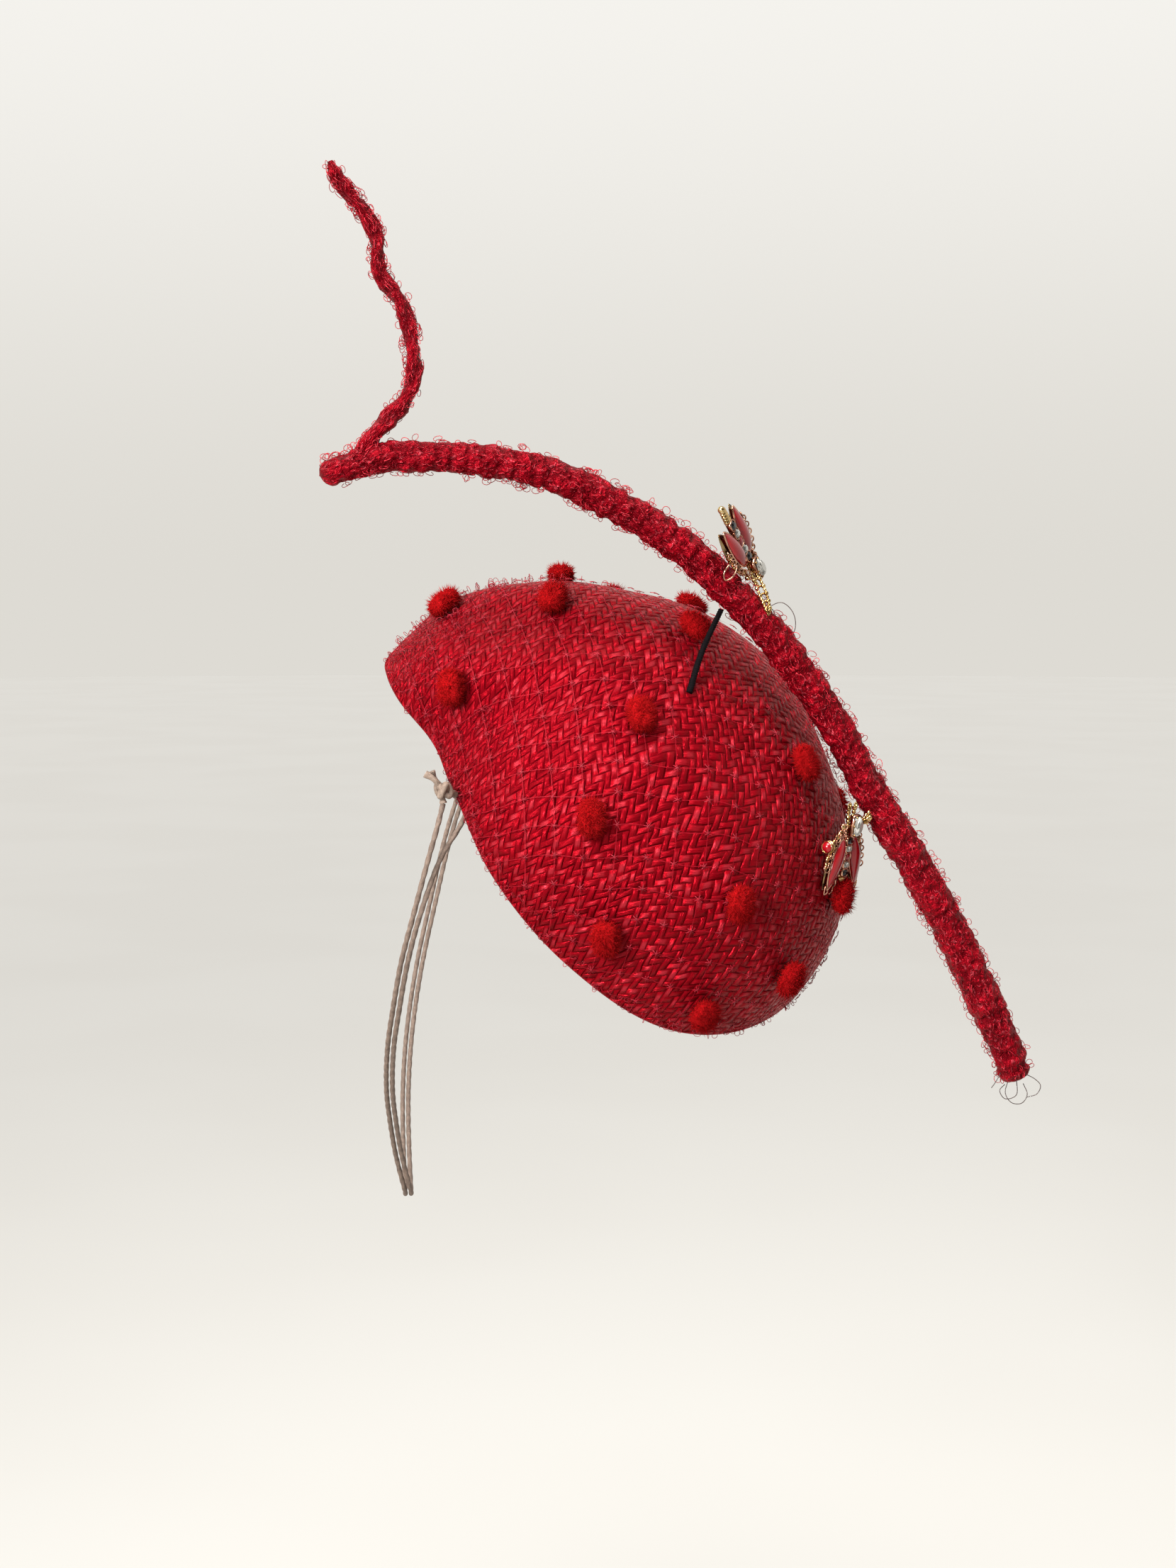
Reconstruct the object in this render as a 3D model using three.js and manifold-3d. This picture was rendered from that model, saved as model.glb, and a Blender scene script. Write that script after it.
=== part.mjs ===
// A red straw percher (a small tilted cocktail hat) with a crin quill, as it sits when it is worn.
// Millimetres. +Z is up, +X is where the wearer looks, -Y is the wearer's right.
// The origin is the centre of the crown's mouth, where the head goes in.
import * as THREE from "three";
import { mergeVertices } from "three/addons/utils/BufferGeometryUtils.js";
import Module from "manifold-3d";

// ---- driving dimensions ----

// How the crown sits: where its dome axis points, and which way its back beak points.
const POSE = { headingDeg: 35.5, riseDeg: 34.4, beakRollDeg: 31.2 };

const CROWN = { height: 61, wall: 2, hem: 2.8, lip: 1.4, meridians: 48 };
// The rim's outline round the dome axis, from the beak (0) by the wearer's right side and the front (180).
// reach is the distance from the axis, rise is how far the rim waves up towards the dome's top.
const RIM = [
  { deg: 0, reach: 93, rise: -5 },
  { deg: 5, reach: 94, rise: -6 },
  { deg: 10, reach: 92, rise: -3 },
  { deg: 16, reach: 87, rise: 0 },
  { deg: 24, reach: 76, rise: 2 },
  { deg: 40, reach: 70, rise: 4 },
  { deg: 70, reach: 73, rise: 5 },
  { deg: 100, reach: 78, rise: 0 },
  { deg: 130, reach: 89, rise: -5 },
  { deg: 160, reach: 94, rise: -8 },
  { deg: 190, reach: 94, rise: -9 },
  { deg: 220, reach: 86, rise: -4 },
  { deg: 250, reach: 83, rise: 3 },
  { deg: 280, reach: 78, rise: 7 },
  { deg: 310, reach: 77, rise: 6 },
  { deg: 332, reach: 86, rise: 3 },
  { deg: 344, reach: 92, rise: 0 },
  { deg: 353, reach: 92, rise: -4 },
];
// The dome's profile is an arc that turns through this angle from top to rim, less at the beak.
const SHOULDER = { sideDeg: 86, beakDeg: 67, beakSpreadDeg: 23 };
// Shares of the way from the dome's top to its rim at which the shell has a ring of points.
const RING_SHARES = [0.09, 0.2, 0.32, 0.44, 0.56, 0.68, 0.78, 0.87, 0.94, 1];
const MERIDIAN_BUNCHING_DEG = 24;

const GAP = 0.3;
// How far outside the crown the veil's two faces lie, and where it stops short of the rim.
const VEIL = { inner: 0.45, outer: 0.9, rimShare: 0.985 };

// Chenille dots: where each one is stuck, as an angle round the dome axis and a share of the way to the rim.
const DOT = { width: 8.4, length: 11, height: 7.4 };
const DOTS = [
  { deg: 351, share: 0.89 },
  { deg: 320, share: 0.85 },
  { deg: 346, share: 0.54 },
  { deg: 281, share: 0.8 },
  { deg: 299, share: 0.29 },
  { deg: 19, share: 0.8 },
  { deg: 51, share: 0.27 },
  { deg: 77, share: 0.57 },
  { deg: 191, share: 0.29 },
  { deg: 132, share: 0.53 },
  { deg: 174, share: 0.63 },
  { deg: 101, share: 0.81 },
  { deg: 152, share: 0.77 },
  { deg: 131, share: 0.88 },
  { deg: 215, share: 0.86 },
  { deg: 238, share: 0.76 },
  { deg: 258, share: 0.92 },
  { deg: 300, share: 0.96 },
];

// The quill lies in an upright plane turned a little from the wearer's forward direction.
const QUILL_PLANE = { turnDeg: 12, aside: -34.2 };
const QUILL = { sides: 12, steps: 62 };
// along is forward in that plane, up is height, and radius is the crin tube's half width there.
const QUILL_ROUTE = [
  { along: -108, up: 109, radius: 4.9 },
  { along: -97, up: 112.5, radius: 5.1 },
  { along: -87, up: 115, radius: 5.3 },
  { along: -69, up: 115.5, radius: 5.5 },
  { along: -50, up: 114, radius: 5.7 },
  { along: -31, up: 110, radius: 5.9 },
  { along: -9, up: 100, radius: 6.1 },
  { along: 14, up: 86, radius: 6.2 },
  { along: 34, up: 68, radius: 6.2 },
  { along: 52, up: 48, radius: 6.3 },
  { along: 67, up: 27, radius: 6.3 },
  { along: 81, up: 2.5, radius: 6.4 },
  { along: 94.5, up: -18.5, radius: 6.5 },
  { along: 106.5, up: -38, radius: 6.6 },
  { along: 117, up: -57.5, radius: 6.6 },
  { along: 127, up: -78, radius: 6.5 },
  { along: 132, up: -88, radius: 6.3 },
  { along: 137, up: -101, radius: 5.6 },
];

const TAIL = { sides: 8, steps: 36 };
const TAIL_ROUTE = [
  { along: -90.4, up: 121.6, radius: 3.3 },
  { along: -85.5, up: 127.5, radius: 3 },
  { along: -81, up: 132, radius: 2.8 },
  { along: -78, up: 137.5, radius: 2.7 },
  { along: -77, up: 145, radius: 2.7 },
  { along: -77.5, up: 151, radius: 2.7 },
  { along: -78.7, up: 158, radius: 2.6 },
  { along: -81.5, up: 165.5, radius: 2.6 },
  { along: -85, up: 170, radius: 2.6 },
  { along: -88.3, up: 175, radius: 2.6 },
  { along: -88.7, up: 181, radius: 2.5 },
  { along: -89, up: 186, radius: 2.5 },
  { along: -92.7, up: 193.3, radius: 2.5 },
  { along: -97, up: 198, radius: 2.6 },
  { along: -100, up: 202, radius: 2.6 },
  { along: -102.3, up: 206, radius: 2.2 },
  { along: -103.5, up: 209, radius: 1.2 },
];

// The black pin that holds the quill up: from the crown's top to the quill's underside.
const STEM = { baseDeg: 15, baseShare: 0.07, baseLift: 1.9, baseRadius: 1.1, topRadius: 0.9, bow: 1, sides: 8, steps: 10 };
const STEM_TOP = { along: 27.1, up: 65.4 };

// Gilt insect brooches. Each has its own frame: u runs from the head to the tail, w stands off the backing,
// v = w x u runs across. They differ in the wings' spread, the cells' pitch, the tail and the arm's reach.
const BROOCHES = [
  {
    name: "top_brooch",
    origin: [41.9, -25.1, 82],
    towardsTail: [-0.416, -0.584, 0.696],
    outward: [0.87, -0.478, 0.12],
    wingFlareDeg: 10,
    cellPitch: 3.6,
    tailLength: 6.4,
    armShare: 1,
    postLength: 2.7,
  },
  {
    name: "front_brooch",
    origin: [77.1, -24, -11.6],
    towardsTail: [-0.14, 0.1, -0.985],
    outward: [0.79, -0.59, -0.17],
    wingFlareDeg: 19,
    cellPitch: 2.8,
    tailLength: 2.1,
    armShare: 0.42,
    postLength: 3.4,
  },
];
const SPINE = { start: -1, halfWidth: 2, thickness: 1.2, pastCells: 0.4 };
const WING = { length: 18, width: 6.2, dome: 1.9, root: 1, spread: 3.3, tray: 1.1, stations: 8 };
const CELL = { width: 3.1, height: 1.4, between: 0.5, first: 1.8 };
const CELL_STONES = ["jet_front", "clear_front", "enamel_mid", "clear_back", "jet_back"];
const HEAD_STONE = { length: 7, width: 4.4, height: 2.4, centre: -3.8, seat: 2.9, collet: 1.9 };
const TAIL_CAP = { radius: 1.5, neck: 1, rise: 0.9 };
const POST = { radius: 1, at: 5 };
const BEAD = { radius: 0.98, spacing: 1.45 };
// Beaded wires. The garland is measured from the wing's root, turned with the wing, and has a twin on the
// other side, as the antenna has. The arm is on the right only.
const GARLAND = [
  { u: -3.6, v: -2.6, w: 0.9 },
  { u: -2.4, v: 1.6, w: 0.6 },
  { u: 1.6, v: 4, w: 0.5 },
  { u: 6.5, v: 4.9, w: 0.5 },
  { u: 12, v: 4.2, w: 0.5 },
];
const ANTENNA = [
  { u: -2, v: 0.8, w: 0.6 },
  { u: -5.5, v: 1.4, w: 0.7 },
  { u: -9.5, v: 1.9, w: 0.6 },
];
const ARM = [
  { u: -2.4, v: 1.4, w: 1.4 },
  { u: -5.4, v: 4.4, w: 3.2 },
  { u: -7.6, v: 8, w: 5 },
  { u: -9.5, v: 12, w: 6.8 },
  { u: -10.2, v: 15, w: 8 },
];

// The hat elastic: two strands side by side from the right of the rim, round the nape and up to the left rim.
const ELASTIC = { diameter: 1.8, sides: 8, steps: 64, spread: 2.15 };
const STRAND_ROUTE = [
  [-59.6, -48.2, 1.4],
  [-61.8, -50.4, -7.5],
  [-64.2, -51.2, -16],
  [-69.7, -49.6, -36],
  [-74.1, -45.4, -52],
  [-78, -37.4, -71],
  [-80.6, -28.4, -85],
  [-82.4, -14.4, -103],
  [-82.4, -1.2, -118],
  [-81.4, 9.6, -133],
  [-79, 18, -148],
  [-79.6, 27, -151],
  [-81, 37, -139],
  [-82.2, 49, -120],
  [-81.8, 63, -99],
  [-79, 78, -75],
  [-74, 89, -50],
  [-68, 95.5, -24],
  [-60, 94.5, 0],
  [-51, 85, 22],
  [-42.5, 71, 40.5],
  [-35, 54, 54],
  [-30.8, 43, 61],
  [-28.9, 37.5, 66],
];
// The second strand starts inside the rim, and from then on lies beside the first.
const INNER_START = [
  [-50.9, -40, 1.4],
  [-54, -43.2, -6],
  [-60.6, -46.8, -17],
];
const INNER_JOINS_AT = 3;
const KNOT = { centre: [-59.7, -48.2, 5.2], radii: [2.6, 2.5, 3.3], tailRadius: 0.9 };
const KNOT_TAILS = [
  { from: [-60.4, -48.2, 6.5], to: [-65.4, -49.2, 11.4] },
  { from: [-60.2, -47.2, 7], to: [-63.6, -46.2, 12] },
  { from: [-59.2, -47.2, 5], to: [-55.9, -43.6, 4] },
];
const FAR_KNOT = { centre: [-28, 34.6, 68], radii: [3.2, 3, 2.8] };

// ---- small helpers ----

const wasm = await Module();
wasm.setup();

const radians = THREE.MathUtils.degToRad;
const vector = (x, y, z) => new THREE.Vector3(x, y, z);
const fromArray = (a) => new THREE.Vector3(...a);

// A table's value at any angle: a smooth curve through its rows that closes on itself at 360 degrees.
function periodic(rows, key, deg) {
  const n = rows.length;
  const at = THREE.MathUtils.euclideanModulo(deg, 360);
  let i = n - 1;
  while (rows[i].deg > at) i -= 1;
  const knot = (k) => rows[THREE.MathUtils.euclideanModulo(k, n)].deg + 360 * Math.floor(k / n);
  const value = (k) => rows[THREE.MathUtils.euclideanModulo(k, n)][key];
  const slope = (k) => {
    const before = knot(k) - knot(k - 1);
    const after = knot(k + 1) - knot(k);
    const rising = (value(k + 1) - value(k)) / after;
    const coming = (value(k) - value(k - 1)) / before;
    return (rising * before + coming * after) / (before + after);
  };
  const h = knot(i + 1) - knot(i);
  const t = (at - knot(i)) / h;
  const a = (2 * t ** 3 - 3 * t ** 2 + 1) * value(i) + (t ** 3 - 2 * t ** 2 + t) * h * slope(i);
  const b = (3 * t ** 2 - 2 * t ** 3) * value(i + 1) + (t ** 3 - t ** 2) * h * slope(i + 1);
  return a + b;
}

// A closed body from rings of points. The first and last rings are single points, and seen from the first
// end the rings run anticlockwise.
function ringSolid(rings) {
  const positions = [];
  const starts = [];
  for (const ring of rings) {
    starts.push(positions.length / 3);
    for (const p of ring) positions.push(p.x, p.y, p.z);
  }
  const index = [];
  for (let j = 0; j + 1 < rings.length; j += 1) {
    const count = Math.max(rings[j].length, rings[j + 1].length);
    for (let i = 0; i < count; i += 1) {
      const here = (k) => starts[j] + (k % rings[j].length);
      const next = (k) => starts[j + 1] + (k % rings[j + 1].length);
      if (rings[j + 1].length > 1) index.push(here(i), next(i), next(i + 1));
      if (rings[j].length > 1) index.push(here(i), next(i + 1), here(i + 1));
    }
  }
  const geometry = new THREE.BufferGeometry();
  geometry.setAttribute("position", new THREE.Float32BufferAttribute(positions, 3));
  geometry.setIndex(index);
  return geometry;
}

// A tube along a curve with blunt rounded ends. radiusAt takes the share of the length.
function sweptSolid(curve, steps, sides, radiusAt) {
  const frames = curve.computeFrenetFrames(steps, false);
  const ring = (i, radius) => {
    const centre = curve.getPointAt(i / steps);
    return Array.from({ length: sides }, (_, k) => {
      const angle = (-2 * Math.PI * k) / sides;
      const across = frames.normals[i].clone().multiplyScalar(radius * Math.cos(angle));
      const over = frames.binormals[i].clone().multiplyScalar(radius * Math.sin(angle));
      return centre.clone().add(across).add(over);
    });
  };
  const rings = [[curve.getPointAt(0)], ring(0, radiusAt(0) * 0.72)];
  for (let i = 1; i < steps; i += 1) rings.push(ring(i, radiusAt(i / steps)));
  rings.push(ring(steps, radiusAt(1) * 0.72), [curve.getPointAt(1)]);
  return ringSolid(rings);
}

function circleShape(radius, sides) {
  const points = Array.from({ length: sides }, (_, k) => {
    const angle = (2 * Math.PI * k) / sides;
    return new THREE.Vector2(radius * Math.cos(angle), radius * Math.sin(angle));
  });
  return new THREE.Shape(points);
}

function cordSolid(points) {
  const curve = new THREE.CatmullRomCurve3(points, false, "centripetal");
  const section = circleShape(ELASTIC.diameter / 2, ELASTIC.sides);
  return new THREE.ExtrudeGeometry(section, { steps: ELASTIC.steps, bevelEnabled: false, extrudePath: curve });
}

function toSolid(geometry) {
  const bare = geometry.clone();
  bare.deleteAttribute("normal");
  bare.deleteAttribute("uv");
  const merged = mergeVertices(bare, 1e-5);
  const vertProperties = new Float32Array(merged.attributes.position.array);
  const triVerts = new Uint32Array(merged.index.array);
  return new wasm.Manifold(new wasm.Mesh({ numProp: 3, vertProperties, triVerts }));
}

function soldered(geometries) {
  const whole = geometries.map(toSolid).reduce((joined, piece) => joined.add(piece));
  const mesh = whole.getMesh();
  const geometry = new THREE.BufferGeometry();
  geometry.setAttribute("position", new THREE.BufferAttribute(new Float32Array(mesh.vertProperties), 3));
  geometry.setIndex(new THREE.BufferAttribute(new Uint32Array(mesh.triVerts), 1));
  return geometry;
}

function finish(color, roughness, metalness = 0) {
  return () => new THREE.MeshStandardMaterial({ color, roughness, metalness });
}

const finishes = {
  straw: finish(0xb01030, 0.35),
  net: finish(0xb51232, 0.6),
  chenille: finish(0xd01418, 0.95),
  crin: finish(0xa01020, 0.4),
  blackWire: finish(0x141010, 0.45),
  gilt: finish(0xd9a441, 0.22, 1),
  enamel: finish(0x9c1420, 0.12),
  jet: finish(0x101010, 0.08),
  crystal: finish(0xe8eef0, 0.03),
  elastic: finish(0x96826f, 0.9),
};

function piece(name, geometry, material) {
  const mesh = new THREE.Mesh(geometry, material());
  mesh.name = name;
  return mesh;
}

// ---- the crown's frame and surface ----

const domeAxis = vector(
  Math.sin(radians(POSE.headingDeg)) * Math.cos(radians(POSE.riseDeg)),
  -Math.cos(radians(POSE.headingDeg)) * Math.cos(radians(POSE.riseDeg)),
  Math.sin(radians(POSE.riseDeg)),
);
const towardsBeak = vector(-Math.cos(radians(POSE.beakRollDeg)), 0, Math.sin(radians(POSE.beakRollDeg)))
  .projectOnPlane(domeAxis)
  .normalize();
const towardsRight = new THREE.Vector3().crossVectors(domeAxis, towardsBeak);
const crownFrame = new THREE.Matrix4().makeBasis(towardsBeak, towardsRight, domeAxis);

// A point of the crown, in its own frame: share goes from 0 at the top to 1 at the rim, and grow is how far
// outside the outer face the point lies.
function crownPoint(deg, share, grow) {
  const reach = periodic(RIM, "reach", deg) + grow;
  const rise = periodic(RIM, "rise", deg);
  const fromBeak = THREE.MathUtils.euclideanModulo(deg + 180, 360) - 180;
  const soften = Math.exp(-((fromBeak / SHOULDER.beakSpreadDeg) ** 2));
  const turn = radians(THREE.MathUtils.lerp(SHOULDER.sideDeg, SHOULDER.beakDeg, soften));
  const outward = Math.sin(share * turn) / Math.sin(turn);
  const upward = (Math.cos(share * turn) - Math.cos(turn)) / (1 - Math.cos(turn));
  const angle = radians(deg);
  return vector(
    outward * reach * Math.cos(angle),
    outward * reach * Math.sin(angle),
    upward * (CROWN.height + grow) + (1 - upward) * rise,
  );
}

function crownNormal(deg, share) {
  const round = crownPoint(deg + 0.5, share, 0).sub(crownPoint(deg - 0.5, share, 0));
  const down = crownPoint(deg, share + 0.005, 0).sub(crownPoint(deg, share - 0.005, 0));
  return down.cross(round).normalize();
}

// The meridians stand closer together at the beak.
const meridianDegs = Array.from({ length: CROWN.meridians }, (_, i) => {
  const turn = i / CROWN.meridians;
  return 360 * turn - MERIDIAN_BUNCHING_DEG * Math.sin(2 * Math.PI * turn);
});
const crownRing = (share, grow, lower = 0) =>
  meridianDegs.map((deg) => crownPoint(deg, share, grow).sub(vector(0, 0, lower)));

function crownGeometry() {
  const rings = [[crownPoint(0, 0, 0)]];
  for (const share of RING_SHARES) rings.push(crownRing(share, 0));
  rings.push(crownRing(1, -0.5, CROWN.lip));
  rings.push(crownRing(1, 0.5 - CROWN.hem, CROWN.lip));
  rings.push(crownRing(1, -CROWN.hem));
  for (const share of RING_SHARES.slice(0, -1).reverse()) rings.push(crownRing(share, -CROWN.wall));
  rings.push([crownPoint(0, 0, -CROWN.wall)]);
  return ringSolid(rings);
}

function veilGeometry() {
  const shares = RING_SHARES.map((share) => share * VEIL.rimShare);
  const rings = [[crownPoint(0, 0, VEIL.outer)]];
  for (const share of shares) rings.push(crownRing(share, VEIL.outer));
  for (const share of shares.slice().reverse()) rings.push(crownRing(share, VEIL.inner));
  rings.push([crownPoint(0, 0, VEIL.inner)]);
  return ringSolid(rings);
}

function dotMesh(dot, number) {
  const geometry = new THREE.IcosahedronGeometry(1, 1);
  geometry.scale(DOT.width / 2, DOT.length / 2, DOT.height / 2);
  const mesh = piece(`dot_${String(number + 1).padStart(2, "0")}`, geometry, finishes.chenille);
  const normal = crownNormal(dot.deg, dot.share);
  const worldUp = vector(0, 0, 1).applyMatrix4(crownFrame.clone().invert());
  const long = worldUp.projectOnPlane(normal).normalize();
  const side = new THREE.Vector3().crossVectors(long, normal);
  mesh.quaternion.setFromRotationMatrix(new THREE.Matrix4().makeBasis(side, long, normal));
  const lift = VEIL.outer + GAP / 2 + DOT.height / 2;
  mesh.position.copy(crownPoint(dot.deg, dot.share, 0)).addScaledVector(normal, lift);
  return mesh;
}

// ---- the quill, its tail and its stem ----

const quillForward = vector(Math.cos(radians(QUILL_PLANE.turnDeg)), Math.sin(radians(QUILL_PLANE.turnDeg)), 0);
const quillLeft = vector(-Math.sin(radians(QUILL_PLANE.turnDeg)), Math.cos(radians(QUILL_PLANE.turnDeg)), 0);

function inQuillPlane(along, up) {
  return quillForward.clone().multiplyScalar(along).addScaledVector(quillLeft, QUILL_PLANE.aside).setZ(up);
}

function crinTube(route, sides, steps) {
  const curve = new THREE.CatmullRomCurve3(route.map((row) => inQuillPlane(row.along, row.up)), false, "centripetal");
  const radii = new THREE.CatmullRomCurve3(route.map((row, i) => vector(i, row.radius, 0)), false, "catmullrom");
  return sweptSolid(curve, steps, sides, (share) => radii.getPoint(share).y);
}

function stemGeometry() {
  const base = crownPoint(STEM.baseDeg, STEM.baseShare, 0).addScaledVector(
    crownNormal(STEM.baseDeg, STEM.baseShare),
    STEM.baseLift,
  );
  base.applyMatrix4(crownFrame);
  const top = inQuillPlane(STEM_TOP.along, STEM_TOP.up);
  const middle = base.clone().lerp(top, 0.5).addScaledVector(vector(1, 0, 0), -STEM.bow);
  const curve = new THREE.CatmullRomCurve3([base, middle, top], false, "centripetal");
  const radiusAt = (share) => THREE.MathUtils.lerp(STEM.baseRadius, STEM.topRadius, share);
  return sweptSolid(curve, STEM.steps, STEM.sides, radiusAt);
}

// ---- the brooches, in their own frames ----

const SIDES = [
  { sign: 1, word: "right" },
  { sign: -1, word: "left" },
];

function placed(geometry, x, y, z, turnDeg = 0) {
  return geometry.rotateZ(radians(turnDeg)).translate(x, y, z);
}

// A leaf with a flat back and a domed front, from its root along +u.
function leafGeometry(length, width, low, high) {
  const around = [
    { v: 1, w: 0 },
    { v: 0.72, w: 0.62 },
    { v: 0, w: 1 },
    { v: -0.72, w: 0.62 },
    { v: -1, w: 0 },
    { v: 0, w: 0 },
  ];
  const rings = [[vector(0, 0, low)]];
  for (let i = 1; i < WING.stations; i += 1) {
    const share = i / WING.stations;
    const fullness = Math.sin(Math.PI * share ** 0.8) ** 0.7;
    rings.push(
      around.map((p) => vector(share * length, (p.v * fullness * width) / 2, low + p.w * (high - low) * fullness)),
    );
  }
  rings.push([vector(length, 0, low)]);
  return ringSolid(rings.reverse());
}

// Turns and moves a piece from the wing's frame to the brooch's. sign gives the side.
function onWing(geometry, sign, flareDeg) {
  return placed(geometry, WING.root, sign * WING.spread, 0, sign * flareDeg);
}

// Fused beads along a wire, up to a share of its length.
function beadRow(rows, sign, share = 1) {
  const points = rows.map((row) => vector(row.u, sign * row.v, row.w));
  const curve = new THREE.CatmullRomCurve3(points, false, "centripetal");
  const count = Math.ceil((curve.getLength() * share) / BEAD.spacing);
  return Array.from({ length: count + 1 }, (_, i) => {
    const p = curve.getPointAt((i / count) * share);
    return new THREE.IcosahedronGeometry(BEAD.radius).translate(p.x, p.y, p.z);
  });
}

// A cut stone: a girdle with a table above and a point below, stretched along u.
function stoneGeometry(length, width, height) {
  const profile = [
    new THREE.Vector2(0, 0),
    new THREE.Vector2(0.5, height * 0.45),
    new THREE.Vector2(0.3, height),
    new THREE.Vector2(0, height),
  ];
  const geometry = new THREE.LatheGeometry(profile, 8);
  geometry.rotateX(Math.PI / 2);
  return geometry.scale(length, width, 1);
}

function broochFrameGeometry(brooch) {
  const spineLength = CELL.first - SPINE.start + (CELL_STONES.length - 0.5) * brooch.cellPitch + SPINE.pastCells;
  const spineEnd = SPINE.start + spineLength;
  const spine = new THREE.BoxGeometry(spineLength, SPINE.halfWidth * 2, SPINE.thickness);
  const pieces = [placed(spine, (SPINE.start + spineEnd) / 2, 0, SPINE.thickness / 2)];
  for (const { sign } of SIDES) {
    const tray = leafGeometry(WING.length + 1, WING.width + 1, 0.1, 0.1 + WING.tray);
    pieces.push(onWing(tray, sign, brooch.wingFlareDeg));
    for (const bit of beadRow(GARLAND, sign)) pieces.push(onWing(bit, sign, brooch.wingFlareDeg));
    pieces.push(...beadRow(ANTENNA, sign));
  }
  pieces.push(...beadRow(ARM, 1, brooch.armShare));
  const collet = new THREE.CylinderGeometry(HEAD_STONE.collet, 1.4, HEAD_STONE.seat, 10).rotateX(Math.PI / 2);
  pieces.push(placed(collet, HEAD_STONE.centre + 1.4, 0, HEAD_STONE.seat / 2));
  const tailStart = vector(spineEnd - 0.2, 0, TAIL_CAP.rise);
  const tailEnd = vector(spineEnd + brooch.tailLength - TAIL_CAP.radius, 0, TAIL_CAP.rise);
  pieces.push(sweptSolid(new THREE.LineCurve3(tailStart, tailEnd), 3, 8, () => TAIL_CAP.neck));
  pieces.push(new THREE.IcosahedronGeometry(TAIL_CAP.radius).translate(tailEnd.x, 0, TAIL_CAP.rise));
  const post = new THREE.CylinderGeometry(POST.radius, POST.radius, brooch.postLength, 8).rotateX(Math.PI / 2);
  pieces.push(placed(post, POST.at, 0, 0.1 - brooch.postLength / 2));
  return soldered(pieces);
}

function broochGroup(brooch) {
  const u = fromArray(brooch.towardsTail).normalize();
  const w = fromArray(brooch.outward).projectOnPlane(u).normalize();
  const v = new THREE.Vector3().crossVectors(w, u);
  const group = new THREE.Group();
  group.quaternion.setFromRotationMatrix(new THREE.Matrix4().makeBasis(u, v, w));
  group.position.copy(fromArray(brooch.origin));
  group.add(piece(`${brooch.name}_frame`, broochFrameGeometry(brooch), finishes.gilt));
  for (const { sign, word } of SIDES) {
    const low = 0.1 + WING.tray + GAP;
    const wing = onWing(leafGeometry(WING.length, WING.width, low, low + WING.dome), sign, brooch.wingFlareDeg);
    group.add(piece(`${brooch.name}_wing_${word}`, wing, finishes.enamel));
  }
  CELL_STONES.forEach((name, i) => {
    const look = name.startsWith("jet") ? finishes.jet : name.startsWith("clear") ? finishes.crystal : finishes.enamel;
    const stone = stoneGeometry(brooch.cellPitch - CELL.between, CELL.width, CELL.height);
    placed(stone, CELL.first + i * brooch.cellPitch, 0, SPINE.thickness + GAP);
    group.add(piece(`${brooch.name}_${name}`, stone, look));
  });
  const head = stoneGeometry(HEAD_STONE.length, HEAD_STONE.width, HEAD_STONE.height);
  placed(head, HEAD_STONE.centre, 0, HEAD_STONE.seat + GAP);
  group.add(piece(`${brooch.name}_head_stone`, head, finishes.crystal));
  return group;
}

// ---- the elastic ----

function knotGeometry(knot, tails) {
  const body = new THREE.IcosahedronGeometry(1, 1).scale(...knot.radii).translate(...knot.centre);
  const ends = tails.map((tail) => {
    const line = new THREE.LineCurve3(fromArray(tail.from), fromArray(tail.to));
    return sweptSolid(line, 3, 6, () => KNOT.tailRadius);
  });
  return soldered([body, ...ends]);
}

const outerRoute = STRAND_ROUTE.map(fromArray);

// The second strand keeps to the first one's forward side, square to its run.
function innerRoute() {
  const beside = outerRoute.slice(INNER_JOINS_AT).map((point, i) => {
    const k = i + INNER_JOINS_AT;
    const run = outerRoute[Math.min(k + 1, outerRoute.length - 1)].clone().sub(outerRoute[k - 1]);
    const forward = vector(1, 0, 0).projectOnPlane(run).normalize();
    return point.clone().addScaledVector(forward, ELASTIC.spread);
  });
  return [...INNER_START.map(fromArray), ...beside];
}

// ---- the assembly ----

const group = new THREE.Group();

const crownGroup = new THREE.Group();
crownGroup.quaternion.setFromRotationMatrix(crownFrame);
crownGroup.add(piece("crown", crownGeometry(), finishes.straw));
crownGroup.add(piece("veil", veilGeometry(), finishes.net));
DOTS.forEach((dot, number) => crownGroup.add(dotMesh(dot, number)));
group.add(crownGroup);

group.add(piece("quill", crinTube(QUILL_ROUTE, QUILL.sides, QUILL.steps), finishes.crin));
group.add(piece("quill_tail", crinTube(TAIL_ROUTE, TAIL.sides, TAIL.steps), finishes.crin));
group.add(piece("stem", stemGeometry(), finishes.blackWire));
for (const brooch of BROOCHES) group.add(broochGroup(brooch));

group.add(piece("elastic_outer", cordSolid(outerRoute), finishes.elastic));
group.add(piece("elastic_inner", cordSolid(innerRoute()), finishes.elastic));
group.add(piece("elastic_knot", knotGeometry(KNOT, KNOT_TAILS), finishes.elastic));
group.add(piece("elastic_far_knot", knotGeometry(FAR_KNOT, []), finishes.elastic));

export default group;
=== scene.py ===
"""Red straw percher with a net veil, a crin quill, two gilt insect brooches and a hat elastic, in its worn pose."""
import logging
import math
from collections.abc import Callable
from dataclasses import dataclass
from enum import Enum

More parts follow.
